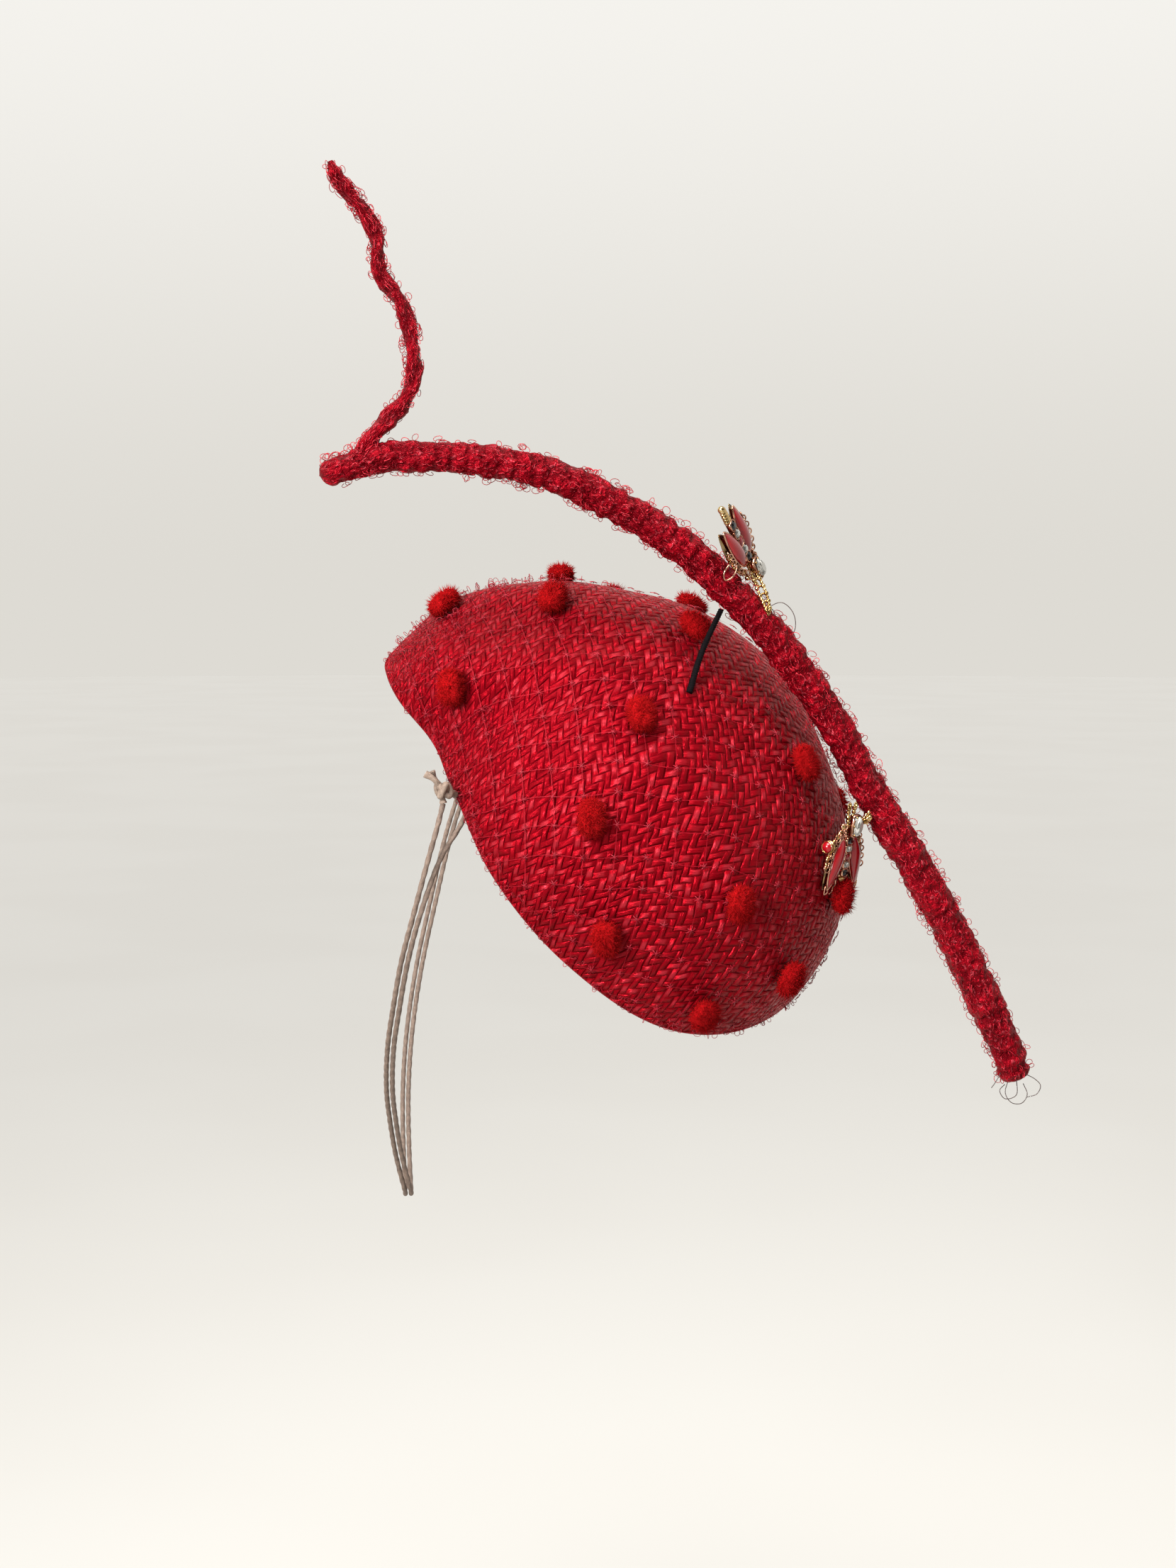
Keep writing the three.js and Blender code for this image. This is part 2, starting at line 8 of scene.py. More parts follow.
import bpy
import numpy as np
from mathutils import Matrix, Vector


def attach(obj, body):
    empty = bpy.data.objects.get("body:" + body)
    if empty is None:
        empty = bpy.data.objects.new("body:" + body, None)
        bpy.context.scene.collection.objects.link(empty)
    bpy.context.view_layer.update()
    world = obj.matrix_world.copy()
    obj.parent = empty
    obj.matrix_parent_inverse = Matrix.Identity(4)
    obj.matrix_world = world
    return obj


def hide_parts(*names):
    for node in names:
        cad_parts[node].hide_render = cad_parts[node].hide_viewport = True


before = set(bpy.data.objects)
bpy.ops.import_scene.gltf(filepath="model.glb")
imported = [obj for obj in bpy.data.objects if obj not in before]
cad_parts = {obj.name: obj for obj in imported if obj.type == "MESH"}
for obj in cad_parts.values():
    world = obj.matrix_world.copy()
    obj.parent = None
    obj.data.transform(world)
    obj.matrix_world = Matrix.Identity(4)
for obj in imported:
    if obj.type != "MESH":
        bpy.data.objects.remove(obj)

log = logging.getLogger("percher")
Array = np.ndarray
Piece = bpy.types.Object
Colour = tuple[float, float, float, float]
MM = 0.001
BODY = "root"
TURN = 2 * math.pi


# ---- numbers ----


def unit(vectors: Array) -> Array:
    """Vectors divided by their lengths, along the last axis."""
    return vectors / np.maximum(np.linalg.norm(vectors, axis=-1, keepdims=True), 1e-12)


def smoothstep(value: Array, low: float = 0, high: float = 1) -> Array:
    """3t² − 2t³ of the value's share t between low and high, held to 0 and 1."""
    t = np.clip((value - low) / (high - low), 0, 1)
    return t * t * (3 - 2 * t)


def quarter_round(depth: Array, radius: float) -> Array:
    """√(1 − (1 − depth/radius)²), 0 at an end and 1 from radius inward."""
    return np.sqrt(np.clip(1 - np.clip(1 - depth / radius, 0, 1) ** 2, 0, 1))


def around(sides: int) -> Array:
    """Equal turns round a circle, in radians."""
    return np.linspace(0, TURN, sides, endpoint=False)


def noise_field(x: Array, y: Array, wrap: int, seed: int) -> Array:
    """Smooth noise from −1 to 1, one lattice cell a unit.

    Args:
        x: coordinate without an end.
        y: coordinate that repeats after wrap cells.
        wrap: cells round.
        seed: starts the lattice's random heights.

    Returns:
        The heights at the four corners round each point, mixed by smoothstep of its place between them.
    """
    rows = 509
    table = np.random.default_rng(seed).uniform(-1, 1, (rows, wrap))
    i, j = np.floor(x).astype(int), np.floor(y).astype(int)
    s, t = smoothstep(x - i), smoothstep(y - j)
    near, far = ((table[k % rows, j % wrap], table[k % rows, (j + 1) % wrap]) for k in (i, i + 1))
    return (near[0] * (1 - s) + far[0] * s) * (1 - t) + (near[1] * (1 - s) + far[1] * s) * t


# ---- curves ----


def run_length(path: Array) -> Array:
    """Arc length from the start to each point of a polyline."""
    return np.concatenate([[0], np.cumsum(np.linalg.norm(np.diff(path, axis=0), axis=1))])


def at_run(path: Array, at: Array | float, run: Array | None = None) -> Array:
    """A polyline's points at the given arc lengths, its own or those of the run."""
    run = run_length(path) if run is None else run
    return np.stack([np.interp(at, run, path[:, k]) for k in range(3)], -1)


def spline(knots: Array | tuple, steps: int) -> Array:
    """A centripetal Catmull-Rom curve through knots, at equal steps of arc length.

    Args:
        knots: (n, 3) points.
        steps: how many pieces the result has.

    Returns:
        (steps + 1, 3) points. Each span is the cubic with end slopes from the Barry-Goldman differences.
    """
    knots = np.array(knots, float)
    p = np.vstack([2 * knots[0] - knots[1], knots, 2 * knots[-1] - knots[-2]])
    d = np.maximum(np.linalg.norm(np.diff(p, axis=0), axis=1) ** 0.5, 1e-6)[:, None]
    p0, p1, p2, p3 = p[:-3], p[1:-2], p[2:-1], p[3:]
    d0, d1, d2 = d[:-2], d[1:-1], d[2:]
    m1 = ((p1 - p0) / d0 - (p2 - p0) / (d0 + d1) + (p2 - p1) / d1) * d1
    m2 = ((p2 - p1) / d1 - (p3 - p1) / (d1 + d2) + (p3 - p2) / d2) * d1
    t = np.linspace(0, 1, 33)[None, :-1, None]
    h = [2 * t**3 - 3 * t**2 + 1, t**3 - 2 * t**2 + t, 3 * t**2 - 2 * t**3, t**3 - t**2]
    dense = sum(share * part[:, None] for share, part in zip(h, (p1, m1, p2, m2))).reshape(-1, 3)
    path = np.vstack([dense, knots[-1]])
    return at_run(path, np.linspace(0, run_length(path)[-1], steps + 1))


def side_frames(path: Array) -> tuple[Array, Array]:
    """Two unit directions square to a path, carried along it without twist.

    Args:
        path: (n, 3) points.

    Returns:
        (first, second): first is the last one's with its part along the run taken away, second = run × first.
    """
    run = unit(np.gradient(path, axis=0))
    first = np.empty_like(run)
    start = np.array([0.0, 0, 1]) if abs(run[0, 2]) < 0.9 else np.array([1.0, 0, 0])
    for i, along in enumerate(run):
        start = start - along * float(start @ along)
        start = start / np.linalg.norm(start)
        first[i] = start
    return first, np.cross(run, first)


# ---- meshes ----


@dataclass
class Shape:
    """A mesh in the making: points and (u, v) in millimetres, faces of one size each, a fold value a point that the
    crin and pile shaders turn into painted shade.
    """

    points: Array
    faces: list[Array]
    uv: Array | None = None
    fold: Array | None = None

    def moved(self, basis: Array, origin: Array) -> "Shape":
        """The shape with x, y, z laid along the basis rows, from origin."""
        return Shape(self.points @ basis + origin, self.faces, self.uv)


def joined(shapes: list[Shape]) -> Shape:
    """Many shapes in one.

    Args:
        shapes: the shapes, a shape without a map taking zeros for it.

    Returns:
        One shape, its faces counted on from shape to shape and sorted by size.
    """
    starts = np.cumsum([0] + [len(s.points) for s in shapes])
    faces: dict[int, list[Array]] = {}
    for shape, start in zip(shapes, starts):
        for f in shape.faces:
            faces.setdefault(f.shape[1], []).append(f + start)
    uvs = [s.uv if s.uv is not None else np.zeros((len(s.points), 2)) for s in shapes]
    return Shape(np.vstack([s.points for s in shapes]), [np.vstack(f) for f in faces.values()], np.vstack(uvs))


def grid_faces(rows: int, cols: int, wrap: bool) -> Array:
    """Quads of a grid of points, row by row.

    Args:
        rows: rows of points.
        cols: points in a row.
        wrap: the last column meets the first.

    Returns:
        (n, 4) indices, row·cols + column.
    """
    r, c = np.meshgrid(np.arange(rows - 1), np.arange(cols if wrap else cols - 1), indexing="ij")
    n = (c + 1) % cols
    return np.stack([r * cols + c, r * cols + n, (r + 1) * cols + n, (r + 1) * cols + c], -1).reshape(-1, 4)


def end_faces(rows: int, sides: int) -> Array:
    """A face over each end of a tube of rings."""
    return np.stack([np.arange(sides)[::-1], (rows - 1) * sides + np.arange(sides)])


def tube(path: Array | list, radius: Array | float, sides: int, capped: bool = True) -> Shape:
    """A round tube along a path.

    Args:
        path: (n, 3) points.
        radius: one for all, one a point, or (n, sides) for a tube with relief.
        sides: points round.
        capped: the ends have a face each.

    Returns:
        The tube: point = path + radius·(cos·first + sin·second), uv = (run, turn).
    """
    path = np.asarray(path, float)
    n = len(path)
    first, second = side_frames(path)
    turn = around(sides)
    r = np.broadcast_to(np.asarray(radius, float).reshape(-1, 1) if np.ndim(radius) < 2 else radius, (n, sides))
    way = np.cos(turn)[None, :, None] * first[:, None] + np.sin(turn)[None, :, None] * second[:, None]
    uv = np.stack([np.repeat(run_length(path), sides), np.tile(turn, n)], 1)
    faces = [grid_faces(n, sides, True)] + ([end_faces(n, sides)] if capped else [])
    return Shape((path[:, None] + r[..., None] * way).reshape(-1, 3), faces, uv)


def ball(rows: int, sides: int) -> tuple[Shape, Array, Array]:
    """A unit ball on a grid of latitudes and longitudes.

    Args:
        rows: latitudes from pole to pole.
        sides: longitudes round.

    Returns:
        The ball, (cos lat·cos lon, cos lat·sin lon, sin lat), with the latitude and longitude of each point.
    """
    grid = np.meshgrid(np.linspace(-math.pi / 2, math.pi / 2, rows), around(sides), indexing="ij")
    lat, lon = (axis.reshape(-1) for axis in grid)
    points = np.stack([np.cos(lat) * np.cos(lon), np.cos(lat) * np.sin(lon), np.sin(lat)], -1)
    return Shape(points, [grid_faces(rows, sides, True)]), lat, lon


def thread_loop(foot: Array, out: Array, side: Array, height: float, width: float, lean: float = 0.0) -> Array:
    """A standing loop of thread.

    Args:
        foot: where it stands.
        out: the way it stands.
        side: the way it opens.
        height: how high.
        width: half the opening.
        lean: how far its top leans sideways.

    Returns:
        Ten points of an ellipse on its foot: side·width·sin(a) + out·height·(1 − cos a) / 2, sunk by 0.2.
    """
    a = np.linspace(0.25, TURN - 0.25, 10)[:, None]
    up = (1 - np.cos(a)) / 2
    return foot + side * (width * np.sin(a) + lean * up) + out * (height * up - 0.2)


def put(name: str, shape: Shape, finish: "Finish", slot: str, *nodes: str, sharp: bool = False) -> Piece:
    """Makes the object of a shape.

    Args:
        name: the piece's name.
        shape: its mesh, in millimetres.
        finish: its look.
        slot: the record's material slot.
        nodes: the CAD nodes that it stands for.
        sharp: flat facets in place of smooth ones.

    Returns:
        The Blender object, riding on the root body.
    """
    mesh = bpy.data.meshes.new(name)
    counts = np.concatenate([np.full(len(f), f.shape[1]) for f in shape.faces])
    loops = np.concatenate([f.reshape(-1) for f in shape.faces]).astype(np.int32)
    mesh.vertices.add(len(shape.points))
    mesh.vertices.foreach_set("co", (shape.points * MM).astype(np.float32).reshape(-1))
    mesh.loops.add(len(loops))
    mesh.loops.foreach_set("vertex_index", loops)
    mesh.polygons.add(len(counts))
    mesh.polygons.foreach_set("loop_start", (np.cumsum(counts) - counts).astype(np.int32))
    mesh.update(calc_edges=True)
    if shape.uv is not None:
        layer = mesh.uv_layers.new(name="lay")
        layer.data.foreach_set("uv", shape.uv[loops].astype(np.float32).reshape(-1))
    if shape.fold is not None:
        depth = mesh.attributes.new("fold", "FLOAT", "POINT")
        depth.data.foreach_set("value", shape.fold.astype(np.float32).reshape(-1))
    mesh.polygons.foreach_set("use_smooth", np.full(len(counts), not sharp))
    mesh.validate()
    mesh.materials.append(finish.material())
    piece = bpy.data.objects.new(name.replace(" ", "_"), mesh)
    bpy.context.scene.collection.objects.link(piece)
    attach(piece, BODY)
    if nodes:
        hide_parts(*nodes)
    log.info("%s: %d faces", name, len(counts))
    return piece


# ---- shading ----


def linear(red: int, green: int, blue: int) -> Colour:
    """An 8-bit display colour as linear light: c / 12.92 up to .04045, then ((c + .055) / 1.055)^2.4."""
    c = np.array([red, green, blue]) / 255
    return (*map(float, np.where(c <= 0.04045, c / 12.92, ((c + 0.055) / 1.055) ** 2.4)), 1.0)


def math_node(operation: str, swapped: bool = False) -> Callable[..., "Value"]:
    """A Math node as an operator of Value.

    Args:
        operation: the node's operation.
        swapped: the other value comes first.

    Returns:
        The operator, for a class body.
    """

    def apply(self: "Value", other: "Value | float" = 0.0) -> "Value":
        """The Math node's result."""
        first, second = (other, self) if swapped else (self, other)
        return self.graph.value("ShaderNodeMath", {0: first, 1: second}, operation=operation)

    return apply


@dataclass(frozen=True, eq=False)
class Value:
    """A node's output, which takes plain arithmetic."""

    graph: "Graph"
    socket: bpy.types.NodeSocket

    __add__ = __radd__ = math_node("ADD")
    __mul__ = __rmul__ = math_node("MULTIPLY")
    __sub__, __rsub__ = math_node("SUBTRACT"), math_node("SUBTRACT", True)
    __truediv__, __rtruediv__ = math_node("DIVIDE"), math_node("DIVIDE", True)
    __mod__, __pow__ = math_node("FLOORED_MODULO"), math_node("POWER")
    __lt__, __abs__, larger = math_node("LESS_THAN"), math_node("ABSOLUTE"), math_node("MAXIMUM")
    sin, cos, floor, fract = map(math_node, ("SINE", "COSINE", "FLOOR", "FRACT"))


@dataclass(frozen=True)
class Graph:
    """A node tree with short ways to add nodes."""

    tree: bpy.types.NodeTree

    def feed(self, socket: bpy.types.NodeSocket, given: object) -> None:
        """Gives a socket its input.

        Args:
            socket: the socket.
            given: a value to link, or a constant to set.
        """
        if isinstance(given, Value):
            self.tree.links.new(given.socket, socket)
        else:
            socket.default_value = given

    def add(self, kind: str, inputs: dict | None = None, **settings: object) -> bpy.types.Node:
        """A node with its settings made and its inputs fed.

        Args:
            kind: the node's type.
            inputs: what each input takes, by its number or name.
            settings: the node's own properties.

        Returns:
            The node.
        """
        node = self.tree.nodes.new(kind)
        for key, given in settings.items():
            setattr(node, key, given)
        for key, given in (inputs or {}).items():
            self.feed(node.inputs[key], given)
        return node

    def value(self, kind: str, inputs: dict | None = None, out: int | str = 0, **settings: object) -> Value:
        """One output of a new node."""
        return Value(self, self.add(kind, inputs, **settings).outputs[out])

    def group(self, tree: bpy.types.NodeTree, **inputs: object) -> dict[str, Value]:
        """A node group's outputs by name."""
        return {o.name: Value(self, o) for o in self.add("ShaderNodeGroup", inputs, node_tree=tree).outputs}

    def spread(self, value: Value, low: float, high: float, to_low: float = 0, to_high: float = 1) -> Value:
        """A value's share between low and high, carried smoothly to the other range."""
        ends = {"Value": value, "From Min": low, "From Max": high, "To Min": to_low, "To Max": to_high}
        return self.value("ShaderNodeMapRange", ends, interpolation_type="SMOOTHSTEP")

    def mix(self, share: Value | float, first: Value | Colour, second: Value | Colour) -> Value:
        """One colour turning into another."""
        return self.value("ShaderNodeMix", {0: share, 6: first, 7: second}, out=2, data_type="RGBA")

    def pick(self, share: Value, at_0: Value, at_1: Value) -> Value:
        """One number turning into another."""
        return self.value("ShaderNodeMix", {0: share, 2: at_0, 3: at_1}, data_type="FLOAT")

    def vector(self, x: Value, y: Value, z: Value | float) -> Value:
        """Three numbers as a place."""
        return self.value("ShaderNodeCombineXYZ", {0: x, 1: y, 2: z})

    def parts(self, place: Value) -> list[Value]:
        """A place's three numbers."""
        return [Value(self, o) for o in self.add("ShaderNodeSeparateXYZ", {0: place}).outputs]

    def lay(self) -> Value:
        """The piece's own map, in millimetres."""
        return self.value("ShaderNodeUVMap", uv_map="lay")

    def noise(self, place: Value, detail: float, **more: float) -> Value:
        """Fractal noise, one lattice cell a unit of place."""
        return self.value("ShaderNodeTexNoise", {"Vector": place, "Scale": 1.0, "Detail": detail, **more})

    def white(self, place: Value) -> Value:
        """A random number for each place."""
        return self.value("ShaderNodeTexWhiteNoise", {"Vector": place}, noise_dimensions="3D")

    def bump(self, height: Value, distance: float, strength: float) -> Value:
        """A normal tilted by a height."""
        return self.value("ShaderNodeBump", {"Height": height, "Distance": distance, "Strength": strength})

    def principled(self, inputs: dict) -> Value:
        """The Principled shader."""
        return self.value("ShaderNodeBsdfPrincipled", inputs)


# ---- shared effects ----


_GROUPS: dict[str, bpy.types.NodeTree] = {}


def shared_group(name: str, inputs: dict[str, str], outputs: tuple[str, ...],
                 build: Callable[..., tuple[Value, ...]]) -> bpy.types.NodeTree:
    """A node group that is built once.

    Args:
        name: the group's name.
        inputs: socket types by name.
        outputs: names of the numbers that it puts out.
        build: takes the graph and each input, and returns the outputs in order.

    Returns:
        The group's tree.
    """
    if name not in _GROUPS:
        tree = bpy.data.node_groups.new(name, "ShaderNodeTree")
        for key, kind in inputs.items():
            tree.interface.new_socket(key, in_out="INPUT", socket_type=kind)
        for key in outputs:
            tree.interface.new_socket(key, in_out="OUTPUT", socket_type="NodeSocketFloat")
        g = Graph(tree)
        start, end = g.add("NodeGroupInput"), g.add("NodeGroupOutput")
        for key, value in zip(outputs, build(g, *(Value(g, start.outputs[k]) for k in inputs))):
            g.feed(end.inputs[key], value)
        _GROUPS[name] = tree
    return _GROUPS[name]


@dataclass(frozen=True)
class Weave:
    """A 2/2 twill of flat straw ribbons, in millimetres and degrees of the cloth's own map."""

    pitch: float = 2.5
    weft_deg: float = 45
    warp_deg: float = 116
    wave: float = 0.55
    wave_run: float = 8.5
    fibres: float = 9
    tilt: float = 2.2

    def across(self, deg: float) -> tuple[float, float]:
        """The unit direction square to strands that run along deg, in strands a millimetre."""
        return -math.sin(math.radians(deg)) / self.pitch, math.cos(math.radians(deg)) / self.pitch

    def strands(self, u: Array | Value, v: Array | Value, sin: Callable) -> tuple:
        """Places counted in strands, for arrays and for node values.

        Args:
            u: place along the map's first side.
            v: place along its second side.
            sin: the sine of such a place.

        Returns:
            (p, q): the waved u and v taken across the warp and across the weft.
        """
        run = self.wave_run
        waved = sin(v / run + sin(u / run / 1.7) * 1.3), sin(u / run * 1.2 + v / run / 2)
        u, v = u + waved[0] * self.wave, v + waved[1] * self.wave
        (ax, ay), (bx, by) = self.across(self.weft_deg), self.across(self.warp_deg)
        return u * bx + v * by, u * ax + v * ay

    def relief(self, uv: Array) -> Array:
        """Height of the ribbons from 0 to 1.

        Args:
            uv: (n, 2) places on the cloth's map.

        Returns:
            (1 − (2c)⁴)·(1 − .6·(2t − 1)⁴): c is the place across the ribbon on top, t along its float.
        """
        p, q = self.strands(uv[:, 0], uv[:, 1], np.sin)
        i, j = np.floor(p), np.floor(q)
        warp_up = np.mod(i + j, 4) < 2
        t = np.where(warp_up, np.mod(q + i, 4) / 2, (np.mod(p + j, 4) - 2) / 2)
        c = np.where(warp_up, p - i, q - j) - 0.5
        return (1 - (2 * c) ** 4) * (1 - 0.6 * (2 * t - 1) ** 4)

    def group(self) -> bpy.types.NodeTree:
        """The weave as a node group: a place in; height, tint, lines, slits for painted shade, crests for polish and a
        painted glint, tilt out.
        """
        outputs = ("Height", "Tint", "Lines", "Slit", "Crest", "Tilt")
        return shared_group("straw weave", {"Place": "NodeSocketVector"}, outputs, self.nodes)

    def nodes(self, g: Graph, place: Value) -> tuple[Value, ...]:
        """The group's nodes: the relief's strands, rounder along the float, each ribbon with a width of its own.

        Args:
            g: the group's graph.
            place: the place on the straw's map.

        Returns:
            Height, tint, lines, the slits' mask for painted shade, the crests' mask for polish and a painted glint, and
            tilt.
        """
        u, v, _ = g.parts(place)
        p, q = self.strands(u, v, Value.sin)
        i, j = p.floor(), q.floor()
        warp_up = (i + j) % 4 < 2
        on_top = [g.pick(warp_up, weft, warp) for warp, weft in (
            ((q + i) % 4 / 2, ((p + j) % 4 - 2) / 2), (p - i, q - j), (i, j),
            (((q + i) / 4).floor(), ((p + j) / 4).floor()), (p, q), (q, p))]
        t, c, strand, float_number, over, length = on_top
        c = c - 0.5
        tint = g.white(g.vector(strand, float_number, warp_up * 17))
        other = (tint * 7.3).fract()
        across4 = abs(c * (other * 0.4 + 1.85)) ** 4
        along2 = abs(t * 2 - 1) ** 2
        height = (1 - across4) * (1 - along2 * 0.75)
        lines = g.noise(g.vector(over * self.fibres, length * 0.5, tint), 2.0, Roughness=0.6)
        # mask of the gaps between ribbons and of the float ends, which the straw paints dark as shade
        slit = g.spread(across4, 0.35, 1.0).larger(g.spread(along2 * along2, 0.55, 1.0, 0, 0.8))
        # mask of the float crests: lower roughness there, and the straw paints a glint colour on them
        crest = g.spread(along2, 0.45, 0.0) * g.spread(across4, 0.6, 0.0) * g.spread(tint, 0.45, 0.9)
        tilt = (tint - 0.5) * c * self.tilt + (other - 0.5) * (t - 0.5) * self.tilt
        return height, tint, lines, slit, crest, tilt


WEAVE = Weave()


def unevenness_group() -> bpy.types.NodeTree:
    """Broad and fine unevenness with a little dust, for any finish.

    Returns:
        The group's tree: a place and a grain size in, three masks out.
    """

    def nodes(g: Graph, place: Value, size: Value) -> tuple[Value, ...]:
        """The group's nodes: three noises, each finer than the last.

        Args:
            g: the group's graph.
            place: the place on the piece.
            size: the broad noise's cell.

        Returns:
            Broad, fine and dust, which gathers where the broad one is high.
        """

        def noise(scale: float, detail: float) -> Value:
            """Noise at so many cells a grain."""
            finer = {0: place, "Scale": scale / size}
            return g.noise(g.value("ShaderNodeVectorMath", finer, operation="SCALE"), detail)

        broad, fine = g.spread(noise(1, 2), 0.35, 0.65), g.spread(noise(7, 3), 0.3, 0.7)
        return broad, fine, g.spread(noise(23, 1), 0.66, 0.74) * broad

    inputs = {"Place": "NodeSocketVector", "Size": "NodeSocketFloat"}
    return shared_group("unevenness", inputs, ("Broad", "Fine", "Dust"), nodes)


# ---- finishes ----


_MADE: dict["Finish", bpy.types.Material] = {}


@dataclass(frozen=True)
class Finish:
    """A finish with a name, made into one material the first time it is used."""

    name: str

    def material(self) -> bpy.types.Material:
        """The finish's material.

        Returns:
            The one made before, or a new one.
        """
        if self not in _MADE:
            made = bpy.data.materials.new(self.name)
            made.use_nodes = True
            made.node_tree.nodes.clear()
            g = Graph(made.node_tree)
            g.add("ShaderNodeOutputMaterial", {"Surface": self.surface(g)})
            _MADE[self] = made
        return _MADE[self]

    def surface(self, g: Graph) -> Value:
        """The shader; each finish has its own."""
        raise NotImplementedError

    def unevenness(self, g: Graph, size_m: float) -> tuple[Value, Value, Value]:
        """The shared broad, fine and dust masks at this grain size, on object coordinates."""
        place = g.value("ShaderNodeTexCoord", out="Object")
        return tuple(g.group(unevenness_group(), Place=place, Size=size_m).values())


@dataclass(frozen=True)
class StrawFinish(Finish):
    """Shiny dyed straw in the shared weave."""

    light: Colour = linear(136, 5, 18)
    deep: Colour = linear(121, 4, 16)
    # painted shade: the colour of the gaps between ribbons
    slit: Colour = linear(95, 3, 13)
    sheen: Colour = linear(200, 40, 60)
    gleam: Colour = linear(255, 105, 115)
    # painted highlight: a pale pink glint colour for the float crests
    crest: Colour = linear(212, 78, 92)
    crest_glint_share: float = 0.17
    relief: float = 0.00072
    roughness: float = 0.2
    metallic: float = 0.36
    shine: float = 0.16
    grain_m: float = 0.03

    def surface(self, g: Graph) -> Value:
        """Ribbons of two reds, darker along the fibre lines, with painted shade in the slits and a painted glint on the
        crests, which are also polished.

        Args:
            g: the material's graph.

        Returns:
            The shader, its bump the sum of ribbons, fibres and the ribbons' own tilts.
        """
        weave = g.group(WEAVE.group(), Place=g.lay())
        broad, fine, _ = self.unevenness(g, self.grain_m)
        ribbon = g.mix(weave["Tint"], self.deep, self.light)
        lined = g.mix(g.spread(weave["Lines"], 0.35, 0.6, 0.45, 0), ribbon, self.deep)
        aged = g.mix(broad * 0.25, lined, self.deep)
        # painted shade in the slits between ribbons
        shaded_slit = g.mix(weave["Slit"] * (fine * 0.6 + 0.4), aged, self.slit)
        # painted highlight: the glint colour mixed onto the crests
        with_painted_glint = g.mix(weave["Crest"] * self.crest_glint_share, shaded_slit, self.crest)
        height = weave["Height"] + weave["Lines"] * 0.4 + weave["Tilt"]
        rough = weave["Crest"] * -0.12 + (weave["Tint"] * 0.14 + (self.roughness - 0.03))
        return g.principled({
            "Base Color": with_painted_glint, "Roughness": rough, "Normal": g.bump(height, self.relief, 1.0),
            "Metallic": self.metallic, "Specular IOR Level": self.shine, "Specular Tint": self.gleam,
            "Sheen Weight": 0.03, "Sheen Roughness": 0.4, "Sheen Tint": self.sheen})


@dataclass(frozen=True)
class NetFinish(Finish):
    """Fine net: thin threads in diamonds, clear between them."""

    thread: Colour = linear(112, 5, 18)
    bright: Colour = linear(136, 12, 28)
    cell_mm: float = 10.5
    width: float = 0.022
    runs: tuple = ((0.83, 0.56), (0.5, -0.87))
    wave_mm: float = 0.8
    wave_run_mm: float = 7
    roughness: float = 0.6
    shine: float = 0.08
    grain_m: float = 0.01

    def surface(self, g: Graph) -> Value:
        """Threads where either family of lines is near, see-through elsewhere.

        Args:
            g: the material's graph.

        Returns:
            The shader: thread where |fract(u·du + (v + wave)·dv) − .5| is under half a width, for either run.
        """
        u, v, _ = g.parts(g.lay())
        waved = v + ((u + v) / self.wave_run_mm).sin() * self.wave_mm
        first, second = (abs((u * (du / self.cell_mm) + waved * (dv / self.cell_mm)).fract() - 0.5) < self.width / 2
                         for du, dv in self.runs)
        colour = g.mix(self.unevenness(g, self.grain_m)[1], self.thread, self.bright)
        cloth = g.principled({"Base Color": colour, "Roughness": self.roughness, "Specular IOR Level": self.shine})
        clear = g.value("ShaderNodeBsdfTransparent")
        return g.value("ShaderNodeMixShader", {0: first.larger(second), 1: clear, 2: cloth})


@dataclass(frozen=True)
class FibreFinish(Finish):
    """Dyed fibre or thread: matt or shiny, with a soft edge and its own grain."""

    light: Colour
    deep: Colour
    roughness: float = 0.6
    grain_m: float = 0.004
    relief: float = 0.0002
    sheen: float = 0.4
    shine: float = 0.5

    def surface(self, g: Graph) -> Value:
        """Two tones of one dye mixed by the unevenness, which also lifts the surface.

        Args:
            g: the material's graph.

        Returns:
            The shader.
        """
        broad, fine, _ = self.unevenness(g, self.grain_m)
        share = fine * 0.6 + broad * 0.4
        return g.principled({
            "Base Color": g.mix(share, self.deep, self.light), "Roughness": self.roughness,
            "Normal": g.bump(share, self.relief, 0.7), "Specular IOR Level": self.shine,
            "Sheen Weight": self.sheen, "Sheen Roughness": 0.35, "Sheen Tint": self.light})


@dataclass(frozen=True)
class PileFinish(Finish):
    """Dense chenille pile with painted shade: deep at the roots, bright at the tips."""

    light: Colour = linear(194, 7, 12)
    deep: Colour = linear(120, 3, 7)
    roughness: float = 0.95
    grain_m: float = 0.0022
    relief: float = 0.0005
    sheen: float = 0.35
    shine: float = 0.1

    def surface(self, g: Graph) -> Value:
        """Two reds mixed by the fold attribute, 0 at the roots and 1 at the tips, as painted shade down in the pile,
        and by the pile's clumps.

        Args:
            g: the material's graph.

        Returns:
            The shader.
        """
        clumps = self.unevenness(g, self.grain_m)[1]
        # painted shade: the pile is drawn darker toward the fibre roots
        tip = g.value("ShaderNodeAttribute", out="Fac", attribute_name="fold")
        return g.principled({
            "Base Color": g.mix(clumps * 0.5 + tip * 0.5, self.deep, self.light), "Roughness": self.roughness,
            "Normal": g.bump(clumps, self.relief, 0.8), "Specular IOR Level": self.shine,
            "Sheen Weight": self.sheen, "Sheen Roughness": 0.5, "Sheen Tint": self.light})


